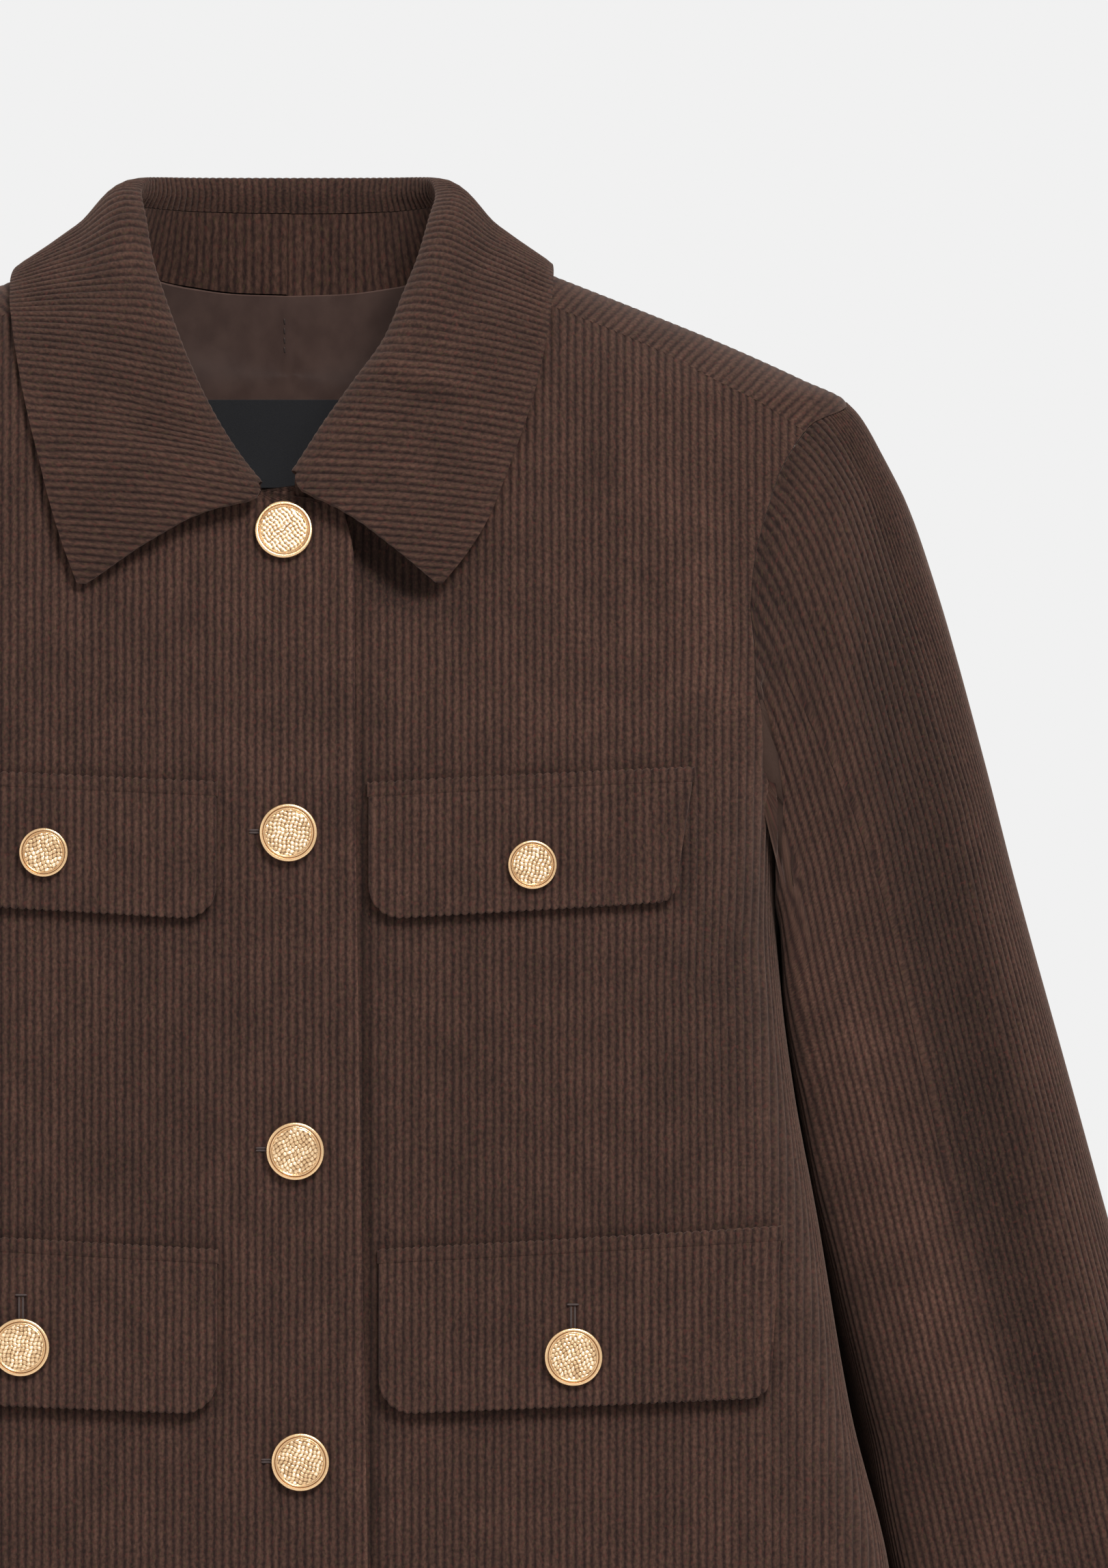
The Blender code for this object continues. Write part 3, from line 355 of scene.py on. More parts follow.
class WaleChart:
    """Where the wales run on the front or the back of the body.

    A wale keeps its distance c from the middle. Near the shoulders c is x itself.
    Lower down the wales also keep their spacing as the side turns away: c grows with
    the arc, by ds times the cosine of the turn while that is over 0.5, and by up to
    ds beyond.
    """

    HEIGHT_STEP = 4.0 * MM
    TURN_STEP = 0.25
    REACH_STEP = 1 * MM
    EXACT_ABOVE = -90 * MM

    def __init__(self, back: bool) -> None:
        """Measures every outline once.

        Args:
            back: whether it is the back's.
        """
        self.back = back
        self.heights = np.arange(HEM_Z / MM - 4, 28, self.HEIGHT_STEP / MM) * MM
        self.places = np.linspace(0, 90, 361)
        turn, z = np.meshgrid(180 - self.places if back else self.places, self.heights)
        points = Body.point(turn, z)
        step = np.diff(points[..., :2], axis=1)
        arc = np.linalg.norm(step, axis=-1)
        cosine = np.abs(step[..., 0]) / np.maximum(arc, 1e-12)
        kept = np.where(cosine > 0.5, cosine, 0.5 + 0.5 * ease((0.5 - cosine) / 0.4))
        share = ease((self.EXACT_ABOVE - z[:, 1:]) / (110 * MM))
        grown = np.cumsum(arc * blend(cosine, kept, share), axis=1)
        self.chart = np.hstack([np.zeros((len(self.heights), 1)), grown])
        self.reach = np.arange(0, 300, 1.0) * MM
        self.inverse = np.stack([np.interp(self.reach, row, self.places) for row in self.chart])

    def place(self, turn: Array, z: Array) -> Array:
        """Distance c of a point, in direction turn at height z."""
        along = 180 - np.abs(turn) if self.back else np.abs(turn)
        row = (z - self.heights[0]) / self.HEIGHT_STEP
        return bilinear(self.chart, row, along / self.TURN_STEP) * np.where(turn < 0, -1, 1)

    def turn(self, c: Array, z: Array) -> Array:
        """Direction of the point at distance c and height z."""
        exact = Body.turn_at(c, z, self.back)
        row = (z - self.heights[0]) / self.HEIGHT_STEP
        read = bilinear(self.inverse, row, np.abs(c) / self.REACH_STEP)
        read = (180 - read if self.back else read) * np.where(c < 0, -1, 1)
        return np.where(z > self.EXACT_ABOVE, exact, read)


class Seams:
    """The body's seam lines, as points and as directions and heights."""

    def __init__(self) -> None:
        """Measures the armhole before and behind."""
        self.front_hole = self._armhole(False)
        self.back_hole = self._armhole(True)

    @staticmethod
    def _armhole(back: bool) -> tuple[Array, Array, Array]:
        """Directions, heights and shares of the length, tip to underarm, 241 of each.

        Args:
            back: whether it is the back's.

        Returns:
            Directions, heights and shares.
        """
        x, z = ARMHOLE[:, 0] * MM, ARMHOLE[:, 1] * MM
        inner = ease(np.arange(len(x)) / 3) * ease((len(x) - 1 - np.arange(len(x))) / 4)
        turn = Body.turn_at(x - back * BACK_ARMHOLE_IN * inner, z)
        turn[[0, -1]] = 90.0
        if back:
            turn = 180 - turn
        table = np.column_stack([lengths(Body.point(turn, z)), turn, z])
        places = np.linspace(0, table[-1, 0], 241)
        fine_turn, fine_z = smooth(places, table, 1), smooth(places, table, 2)
        return fine_turn, fine_z, places / places[-1]

    @staticmethod
    def shoulder(x: Array) -> Array:
        """Height of the shoulder seam at x across, level inside the neck."""
        table = SHOULDER_SEAM * MM
        beyond = np.maximum(x - table[-1, 0], 0) * -0.62
        return smooth(x, table, 1) + beyond

    @staticmethod
    def neckline(turn: Array) -> Array:
        """Height of the neckline in direction turn."""
        return smooth(np.abs(turn), NECKLINE, 1) * MM


# ---- Folds in the cloth --------------------------------------------------------


@dataclass(frozen=True)
class Crease:
    """A soft trough, or a ridge if depth is negative, along a line of (x, z) in mm."""

    line: tuple[tuple[float, float], ...]
    depth: float
    width: float

    def push(self, x: Array, z: Array) -> Array:
        """How far out the crease moves the cloth: -depth exp(-d^2 / 2 width^2), faded.

        Args:
            x: places across (m).
            z: heights (m).

        Returns:
            Distances out (m).
        """
        points = np.array(self.line)
        total = lengths(points)
        nearest = np.full(np.shape(x), 1e9)
        along = np.zeros(np.shape(x))
        for index in range(len(points) - 1):
            start, step = points[index], points[index + 1] - points[index]
            share = ((x / MM - start[0]) * step[0] + (z / MM - start[1]) * step[1]) / (step @ step)
            share = np.clip(share, 0, 1)
            away = np.hypot(x / MM - start[0] - share * step[0], z / MM - start[1] - share * step[1])
            closer = away < nearest
            nearest = np.where(closer, away, nearest)
            along = np.where(closer, total[index] + share * np.hypot(*step), along)
        reach = along / total[-1]
        fade = 0.25 + 0.75 * ease(reach / 0.3) * ease((1 - reach) / 0.3)
        return -self.depth * MM * fade * np.exp(-((nearest / self.width) ** 2) / 2)


def drape(creases: tuple[Crease, ...], x: Array, z: Array) -> Array:
    """Sum of the creases' pushes."""
    total = np.zeros(np.shape(x))
    for crease in creases:
        total = total + crease.push(x, z)
    return total


# Creases move the cloth, and their push also gives its painted shade in troughs and painted light on
# ridges
FRONT_CREASES = {
    1: (
        Crease(((165, -150), (150, -172), (138, -190)), 1.0, 6),
        Crease(((172, -205), (160, -262), (150, -330)), 1.4, 14),
        Crease(((60, -260), (52, -330), (50, -355)), 0.9, 16),
        Crease(((22, -84), (32, -98), (44, -110), (54, -118)), 9.0, 9),
        Crease(((178, -240), (150, -258), (110, -270)), 1.2, 9),
        Crease(((112, -32), (116, -60), (110, -84)), 2.0, 8),
        Crease(((134, -52), (142, -80), (150, -120), (158, -160)), -2.1, 10),
        Crease(((25.2, -104), (26, -187), (28, -330), (30.4, -474), (32.2, -596)), 2.6, 1.9),
    ),
    -1: (
        Crease(((-165, -140), (-150, -168), (-140, -188)), 1.0, 6),
        Crease(((-172, -205), (-156, -270), (-148, -335)), 1.4, 14),
        Crease(((-178, -238), (-140, -262), (-100, -268)), 1.2, 9),
        Crease(((-52, -255), (-60, -330), (-58, -350)), 0.9, 15),
        Crease(((-108, -34), (-114, -58), (-106, -80)), 1.3, 8),
    ),
}
# Painted light on a soft ridge beside the armhole's low end: a shade with no push
ARMHOLE_PAINTED_LIGHT = (Crease(((146, -110), (157, -145), (168, -178), (177, -225)), -2.2, 7),)
BACK_CREASES = (
    Crease(((-170, -150), (-120, -210), (-60, -240)), 1.6, 12),
    Crease(((170, -160), (128, -225), (70, -250)), 1.4, 13),
    Crease(((-120, -300), (-30, -330), (60, -322)), 1.5, 15),
    Crease(((100, -290), (112, -420), (118, -560)), 1.8, 18),
    Crease(((-86, -330), (-96, -450), (-104, -580)), 1.8, 20),
)
SLEEVE_CREASES = (
    Crease(((205, -48), (215, -75), (221, -100), (224, -150), (230, -175), (244, -250), (254, -300),
            (264, -362), (276, -430), (286, -480)), 5.5, 11),
    Crease(((181, -224), (204, -290), (232, -360), (256, -427), (270, -470)), -2.6, 12),
    Crease(((172, -112), (190, -128), (204, -150)), 1.6, 5),
    Crease(((172, -135), (188, -152), (198, -176)), 1.3, 5),
    Crease(((186, -290), (214, -310), (238, -316)), 1.2, 8),
    Crease(((208, -420), (244, -440), (268, -436)), 1.3, 9),
    Crease(((250, -500), (282, -520), (312, -512)), 1.5, 10),
)
LEAF_CREASES = (
    Crease(((33, -36), (46, -44), (68, -51)), 1.2, 3.0),
    Crease(((30, -29), (46, -37), (70, -43)), -0.9, 3.0),
    Crease(((-36, -22), (-56, -26), (-82, -22)), 0.5, 4.0),
)


# ---- Finishes ------------------------------------------------------------------


class Finish(Enum):
    """The finishes, by the name of the CAD's slot that each stands for."""

    CORDUROY = "corduroy"
    SATIN = "satin"
    RIBBON = "ribbon"
    GOLD = "gold_metal"


@dataclass(frozen=True)
class CordLook:
    """Colours and scales of the corduroy."""

    ridge: tuple[float, float, float] = (0.0410, 0.0203, 0.0141)
    # The groove's colour is its bare base, darkened further as painted shade
    groove: tuple[float, float, float] = (0.0150, 0.0068, 0.0056)
    red: tuple[float, float, float] = (0.0550, 0.0165, 0.0125)
    olive: tuple[float, float, float] = (0.0345, 0.0240, 0.0110)
    roughness: float = 0.92
    sheen: float = 0.13


class Shader:
    """A material under construction, with short calls for the nodes that it uses."""

    def __init__(self, name: str) -> None:
        """Starts a material with its UV map read.

        Args:
            name: the material's name.
        """
        self.material = bpy.data.materials.new(name)
        self.material.use_nodes = True
        self.tree = self.material.node_tree
        self.surface = self.tree.nodes["Principled BSDF"]
        uv = self.node("ShaderNodeUVMap", uv_map="UVMap")
        split = self.node("ShaderNodeSeparateXYZ")
        self.link(uv.outputs[0], split.inputs[0])
        # U counts the wales, and V has the same unit along the wale
        self.u, self.v = split.outputs[0], split.outputs[1]

    def node(self, kind: str, **values: str) -> bpy.types.Node:
        """A node of this kind, with its attributes set."""
        made = self.tree.nodes.new(kind)
        for key, value in values.items():
            setattr(made, key, value)
        return made

    def link(self, out: Socket, into: Socket) -> None:
        """Joins an output to an input."""
        self.tree.links.new(out, into)

    def feed(self, socket: Socket, value: Value) -> None:
        """Sets a socket from a number, a colour or another node's output."""
        if isinstance(value, Socket):
            self.link(value, socket)
        else:
            socket.default_value = value

    def math(self, operation: str, *values: Value) -> Socket:
        """Output of a math node of up to three values."""
        made = self.node("ShaderNodeMath", operation=operation)
        for socket, value in zip(made.inputs, values):
            self.feed(socket, value)
        return made.outputs[0]

    def mix(self, factor: Value, a: Value, b: Value) -> Socket:
        """Output of a mix of colours a, at factor 0, and b, at 1; a colour may be a tuple of 3."""
        made = self.node("ShaderNodeMix", data_type="RGBA")
        self.feed(made.inputs["Factor"], factor)
        for name, color in (("A", a), ("B", b)):
            self.feed(made.inputs[name], (*color, 1.0) if isinstance(color, tuple) else color)
        return made.outputs["Result"]

    def grain(self, u_scale: float, v_scale: float, scale: float, detail: float,
              crossed: bool = False) -> Socket:
        """Factor of a noise at (u u_scale, v v_scale), or with u and v exchanged if crossed.

        Args:
            u_scale: stretch of the first coordinate.
            v_scale: stretch of the second.
            scale: the noise's scale.
            detail: its detail.
            crossed: whether u and v are exchanged.

        Returns:
            Its output.
        """
        first, second = (self.v, self.u) if crossed else (self.u, self.v)
        place = self.node("ShaderNodeCombineXYZ")
        self.link(self.math("MULTIPLY", first, u_scale), place.inputs[0])
        self.link(self.math("MULTIPLY", second, v_scale), place.inputs[1])
        made = self.node("ShaderNodeTexNoise")
        self.link(place.outputs[0], made.inputs["Vector"])
        made.inputs["Scale"].default_value = scale
        made.inputs["Detail"].default_value = detail
        return made.outputs["Fac"]

    def relief(self) -> Socket:
        """The piece's relief attribute, 0 to 1: on the cloth, painted shade and light; on the buttons,
        the weave's height and painted shade in the grooves.
        """
        return self.node("ShaderNodeAttribute", attribute_name="relief").outputs["Fac"]

    def ramp(self, value: Value, low: float, high: float, to_low: float = 0.0,
             to_high: float = 1.0) -> Socket:
        """Value mapped from low..high to to_low..to_high, held at the ends, with a soft S."""
        made = self.node("ShaderNodeMapRange", interpolation_type="SMOOTHSTEP")
        for socket, number in zip(made.inputs, (value, low, high, to_low, to_high)):
            self.feed(socket, number)
        return made.outputs[0]

    def bump(self, height: Socket, distance: float, strength: float) -> None:
        """Bumps the surface."""
        made = self.node("ShaderNodeBump")
        made.inputs["Distance"].default_value = distance
        made.inputs["Strength"].default_value = strength
        self.link(height, made.inputs["Height"])
        self.link(made.outputs["Normal"], self.surface.inputs["Normal"])

    def set(self, **values: Value) -> None:
        """Sets inputs of the surface by name, with spaces for underscores."""
        for key, value in values.items():
            self.feed(self.surface.inputs[key.replace("_", " ")], value)


class Finishes:
    """Every material of the jacket and the studio."""

    def __init__(self) -> None:
        """Makes every material."""
        self.cord = self._corduroy(CordLook())
        self.cord_inside = self._plain_weave()
        self.satin = self._satin()
        self.ribbon = self._ribbon()
        self.gold = self._gold()
        self.thread = self._thread()
        self.floor = self._floor()

    @staticmethod
    def _corduroy(look: CordLook) -> bpy.types.Material:
        """Cut pile: pale ridges, grooves dark from their bare base and from painted shade, tufts,
        flecks, a nap that varies, and painted shade and light along the creases.

        Args:
            look: its colours and scales.

        Returns:
            The material.
        """
        shader = Shader("corduroy")
        # The groove wanders a little and breaks up along its length
        sway = shader.math("SUBTRACT", shader.grain(0.7, 0.22, 1.0, 1.0), 0.5)
        moved = shader.math("MULTIPLY_ADD", sway, 0.35, shader.u)
        breaks = shader.math("SUBTRACT", shader.grain(1.5, 0.8, 1.6, 2.0), 0.5)
        height = shader.math("MULTIPLY_ADD", breaks, 0.5, shader.math("PINGPONG", moved, 0.5))
        crown = shader.ramp(height, -0.02, 0.44)
        # One value for each wale, so that neighbours differ
        each = shader.node("ShaderNodeTexWhiteNoise", noise_dimensions="1D")
        shader.link(shader.math("FLOOR", shader.u), each.inputs["W"])
        tufts, fine = shader.grain(1.5, 1.0, 2.0, 3.0), shader.grain(7.0, 4.0, 2.0, 2.0)
        shade = shader.math("ADD", shader.ramp(tufts, 0.3, 0.7, 0.66, 1.34),
                            shader.ramp(fine, 0.3, 0.7, -0.12, 0.12))
        nap, drift = shader.grain(0.25, 0.16, 1.0, 3.0), shader.grain(0.05, 0.05, 1.0, 2.0)
        for change in (shader.ramp(nap, 0.3, 0.7, 0.87, 1.13),
                       shader.ramp(drift, 0.35, 0.65, 0.95, 1.05),
                       shader.ramp(each.outputs["Value"], 0.0, 1.0, 0.96, 1.04),
                       # Painted shade in the creases' troughs and painted light on their ridges, read
                       # from the relief attribute
                       shader.math("MULTIPLY_ADD", shader.relief(), 1.2, 0.4)):
            shade = shader.math("MULTIPLY", shade, change)
        tint = shader.node("ShaderNodeVectorMath", operation="SCALE")
        shader.link(shader.mix(crown, look.groove, look.ridge), tint.inputs[0])
        shader.link(shade, tint.inputs["Scale"])
        red = shader.ramp(shader.grain(1.5, 0.8, 1.7, 1.0), 0.58, 0.70, 0, 0.40)
        olive = shader.ramp(shader.grain(0.9, 1.4, 1.9, 1.0, crossed=True), 0.58, 0.70, 0, 0.40)
        color = shader.mix(red, tint.outputs[0], look.red)
        color = shader.mix(olive, color, look.olive)
        pile = shader.math("ADD", shader.math("MULTIPLY", tufts, 0.6),
                           shader.math("MULTIPLY", fine, 0.4))
        shader.bump(pile, 0.35 * MM, 0.8)
        shader.set(Base_Color=color, Roughness=look.roughness, Sheen_Weight=look.sheen,
                   Sheen_Roughness=0.5, Sheen_Tint=(0.70, 0.50, 0.42, 1.0), Specular_IOR_Level=0.12)
        return shader.material

    @staticmethod
    def _plain_weave() -> bpy.types.Material:
        """The cloth's wrong side: a flat, dull twill."""
        shader = Shader("corduroy_inside")
        weave = shader.grain(6.0, 6.0, 2.0, 2.0)
        shader.bump(weave, 0.1 * MM, 0.6)
        color = shader.mix(weave, (0.022, 0.012, 0.009), (0.043, 0.025, 0.019))
        shader.set(Base_Color=color, Roughness=0.95, Specular_IOR_Level=0.1)
        return shader.material

    @staticmethod
    def _satin() -> bpy.types.Material:
        """Smooth brown lining with fine threads across and a soft shine.

        Returns:
            The material.
        """
        shader = Shader("satin")
        threads, folds = shader.grain(1.2, 18.0, 3.0, 2.0), shader.grain(0.10, 0.02, 2.0, 2.0)
        blotch = shader.ramp(shader.grain(0.3, 0.25, 1.0, 3.0), 0.3, 0.7)
        low = shader.mix(blotch, (0.046, 0.027, 0.022), (0.062, 0.037, 0.030))
        high = shader.mix(blotch, (0.063, 0.037, 0.031), (0.082, 0.050, 0.041))
        shader.bump(shader.math("ADD", shader.math("MULTIPLY", threads, 0.12), folds), 0.5 * MM, 0.5)
        shader.set(Base_Color=shader.mix(threads, low, high), Roughness=0.42,
                   Specular_IOR_Level=0.5, Anisotropic=0.4)
        return shader.material

    @staticmethod
    def _ribbon() -> bpy.types.Material:
        """Plain black woven label with fine ribs."""
        shader = Shader("ribbon")
        ribs = shader.grain(2.0, 14.0, 2.0, 1.0)
        shader.bump(ribs, 0.1 * MM, 0.5)
        color = shader.mix(ribs, (0.009, 0.009, 0.0105), (0.021, 0.021, 0.0235))
        shader.set(Base_Color=color, Roughness=0.6, Specular_IOR_Level=0.35)
        return shader.material

    @staticmethod
    def _gold() -> bpy.types.Material:
        """Bright pale gold; by the relief, the woven face's hollows and the rim's grooves are painted
        dark as shade, and its tops painted pale as highlight.
        """
        shader = Shader("gold_metal")
        relief = shader.relief()
        plain = shader.mix(shader.grain(6.0, 6.0, 1.5, 2.0), (0.66, 0.42, 0.22), (0.80, 0.56, 0.32))
        # Painted shade in the hollows and grooves
        hollow_shaded_gold = shader.mix(shader.ramp(relief, 0.05, 0.5), (0.17, 0.08, 0.035), plain)
        # Painted highlight on the weave's tops
        color = shader.mix(shader.ramp(relief, 0.55, 0.95), hollow_shaded_gold, (1.0, 0.88, 0.68))
        shader.bump(shader.grain(14.0, 14.0, 1.5, 2.0), 0.10 * MM, 0.5)
        shader.set(Base_Color=color, Metallic=1.0, Roughness=0.26)
        return shader.material

    @staticmethod
    def _thread() -> bpy.types.Material:
        """Dark brown buttonhole and stitching thread."""
        shader = Shader("thread")
        twist = shader.grain(4.0, 4.0, 3.0, 1.0)
        shader.bump(twist, 0.1 * MM, 0.5)
        color = shader.mix(twist, (0.018, 0.010, 0.009), (0.045, 0.026, 0.021))
        shader.set(Base_Color=color, Roughness=0.75)
        return shader.material

    @staticmethod
    def _floor() -> bpy.types.Material:
        """Plain matt white."""
        shader = Shader("floor_paint")
        shader.set(Base_Color=(0.80, 0.80, 0.80, 1), Roughness=0.9, Specular_IOR_Level=0.1)
        return shader.material


# ---- Building meshes -----------------------------------------------------------


class MeshBuilder:
    """Collects points with U, V and relief, and faces with their material's number."""

    def __init__(self) -> None:
        """Starts with no points."""
        self.points: list[Array] = []
        self.uvs: list[Array] = []
        self.faces: list[Array] = []
        self.slots: list[Array] = []
        self.relief: list[Array] = []
        self.count = 0

    def add_points(self, points: Array, uvs: Array, relief: float | Array = 0.5) -> int:
        """Adds points, and returns the number of the first."""
        first = self.count
        self.points.append(points.reshape(-1, 3))
        self.uvs.append(uvs.reshape(-1, 2))
        self.relief.append(np.broadcast_to(relief, points.shape[:-1]).ravel())
        self.count += len(self.points[-1])
        return first

    def add_faces(self, faces: Array, slot: int = 0) -> None:
        """Adds faces of three or four corners each, given as rows of point numbers."""
        if len(faces):
            self.faces.append(np.asarray(faces))
            self.slots.append(np.full(len(faces), slot))

    def add_grid(self, points: Array, uvs: Array, slot: int = 0, ring: bool = False,
                 relief: float | Array = 0.5) -> Array:
        """Adds a grid, rows x columns x 3, with its quads, and returns its point numbers."""
        rows, columns = points.shape[:2]
        first = self.add_points(points, uvs, relief)
        number = first + np.arange(rows * columns).reshape(rows, columns)
        around = np.hstack([number, number[:, :1]]) if ring else number
        self.add_faces(quads_of(around), slot)
        return number

    def add_shell(self, outer: Array, inward: Array, wall: float, uvs: Array,
                  inner_slot: int = 1, relief: float = 0.5) -> None:
        """Adds a closed wall: the outer grid, an inner one moved in, and the rim."""
        top = self.add_grid(outer, uvs, relief=relief)
        low = self.add_points(outer + inward * wall, uvs) + np.arange(top.size).reshape(top.shape)
        self.add_faces(quads_of(low)[:, ::-1], inner_slot)
        loop = np.concatenate([top[0, :], top[1:, -1], top[-1, -2::-1], top[-2:0:-1, 0]])
        under = np.concatenate([low[0, :], low[1:, -1], low[-1, -2::-1], low[-2:0:-1, 0]])
        self.add_faces(np.column_stack([loop, np.roll(loop, -1), np.roll(under, -1), under]))

    def build(self, name: str, materials: list[bpy.types.Material], mirror: bool = False,
              sharp: float = 60.0) -> bpy.types.Object:
        """Makes the object, outward-facing, with shading sharp over this angle in degrees.

        Args:
            name: the object's name.
            materials: outer and inner material.
            mirror: whether it is turned to the other side.
            sharp: angle in degrees over which edges are sharp.

        Returns:
            The object.
        """
        points, uvs = np.concatenate(self.points), np.concatenate(self.uvs)
        if mirror:
            points = points * (-1, 1, 1)
        volume = 0.0
        for faces in self.faces:
            a = points[faces[:, 0]]
            for k in range(1, faces.shape[1] - 1):
                cross = np.cross(a, points[faces[:, k]])
                volume += np.einsum("ij,ij->", cross, points[faces[:, k + 1]])
        turn = slice(None, None, -1) if volume < 0 else slice(None)
        rows = [row for faces in self.faces for row in faces[:, turn].tolist()]
        mesh = bpy.data.meshes.new(name)
        mesh.from_pydata(points, [], rows)
        for each in materials:
            mesh.materials.append(each)
        mesh.polygons.foreach_set("material_index", np.concatenate(self.slots).astype(np.int32))
        layer = mesh.uv_layers.new(name="UVMap")
        corners = np.empty(len(mesh.loops), np.int32)
        mesh.loops.foreach_get("vertex_index", corners)
        layer.data.foreach_set("uv", uvs[corners].ravel().astype(np.float32))
        # The relief attribute carries painted shade and light as well as the buttons' weave
        relief = np.concatenate(self.relief).astype(np.float32)
        mesh.attributes.new("relief", "FLOAT", "POINT").data.foreach_set("value", relief)
        mesh.shade_smooth()
        mesh.set_sharp_from_angle(angle=math.radians(sharp))
        mesh.validate()
        made = bpy.data.objects.new(name, mesh)
        bpy.context.scene.collection.objects.link(made)
        LOG.info("%s: %d faces", name, len(mesh.polygons))
        return made


def quads_of(number: Array) -> Array:
    """Quads of a grid of point numbers: down, right, up, as seen from outside."""
    corners = (number[:-1, :-1], number[1:, :-1], number[1:, 1:], number[:-1, 1:])
    return np.stack(corners, axis=-1).reshape(-1, 4)


def crease_painted_shade(push: Array) -> Array:
    """Relief value of cloth pushed out by a crease: 0.5 flat, less in a trough as painted shade, more on
    a ridge as painted light.
    """
    return 0.5 + 0.07 * np.clip(push / MM, -5, 3)


@dataclass(frozen=True)
class Cord:
    """The corduroy's relief: for each wale, where its columns stand and how high."""

    pitch: float = 3.0 * MM
    wall: float = 1.8 * MM
    places: tuple[float, ...] = (0.0, 0.22, 0.5, 0.78)
    heights: tuple[float, ...] = (-0.40 * MM, 0.04 * MM, 0.30 * MM, 0.04 * MM)

    def columns(self, low: float, high: float) -> Array:
        """Distances c of all columns between two limits, starting with a groove."""
        wales = np.arange(math.floor(low / self.pitch) - 1, math.ceil(high / self.pitch) + 2)
        return ((wales[:, None] + np.array(self.places)[None]) * self.pitch).ravel()

    def relief(self, c: Array) -> Array:
        """Height of the pile at c, read between the columns."""
        share = (c / self.pitch) % 1.0
        places = np.array((*self.places, 1.0))
        heights = np.array((*self.heights, self.heights[0]))
        return np.interp(share, places, heights)


class CutRows:
    """A panel's points: rows that share the wales' columns and are cut at both ends.

    Each row holds its left end, every column between its ends, and its right end.
    Between two rows, quads join the columns that both have, and fans of triangles
    fill up to the ends.
    """

    def __init__(self, left: Array, right: Array, columns: Array, clear: float) -> None:
        """Numbers the points of every row.

        Args:
            left: c at each row's left end.
            right: c at its right end.
            columns: c of all columns.
            clear: least distance of a column from an end.
        """
        self.first = np.searchsorted(columns, left + clear, side="right")
        self.stop = np.maximum(np.searchsorted(columns, right - clear), self.first)
        self.size = self.stop - self.first + 2
        self.base = np.concatenate([[0], np.cumsum(self.size)[:-1]])
        self.places = np.concatenate([
            np.concatenate([[low], columns[a:b], [high]])
            for low, high, a, b in zip(left, right, self.first, self.stop)
        ])
        self.row = np.repeat(np.arange(len(left)), self.size)

    def chain(self, row: int) -> Array:
        """Point numbers of a row."""
        return self.base[row] + np.arange(self.size[row])

    def faces(self) -> tuple[Array, Array]:
        """Quads and triangles of the whole panel.

        Returns:
            Rows of four and rows of three point numbers.
        """
        quads, fans = [], []
        for row in range(len(self.base) - 1):
            a, b = self.chain(row), self.chain(row + 1)
            low = max(self.first[row], self.first[row + 1])
            high = min(self.stop[row], self.stop[row + 1])
            if high - low < 1:
                fans.append(self._bridge(a, b))
                continue
            a_low, b_low = low - self.first[row] + 1, low - self.first[row + 1] + 1
            width = high - low
            top, under = a[a_low:a_low + width], b[b_low:b_low + width]
            quads.append(np.column_stack([top[:-1], under[:-1], under[1:], top[1:]]))
            fans.append(self._bridge(a[:a_low + 1], b[:b_low + 1]))
            fans.append(self._bridge(a[a_low + width - 1:], b[b_low + width - 1:]))
        return np.concatenate(quads), np.concatenate(fans)

    @staticmethod
    def _bridge(top: Array, under: Array) -> Array:
        """Triangles between two chains of point numbers, stepping evenly along both."""
        m, n = len(top) - 1, len(under) - 1
        keys = np.concatenate([np.arange(1, m + 1) / max(m, 1), np.arange(1, n + 1) / max(n, 1) + 1e-6])
        is_top = np.concatenate([np.ones(m, bool), np.zeros(n, bool)])[np.argsort(keys, kind="stable")]
        i = np.concatenate([[0], np.cumsum(is_top)])
        j = np.concatenate([[0], np.cumsum(~is_top)])
        third = np.where(is_top, top[np.minimum(i[:-1] + 1, m)], under[np.minimum(j[:-1] + 1, n)])
        return np.column_stack([top[i[:-1]], under[j[:-1]], third])


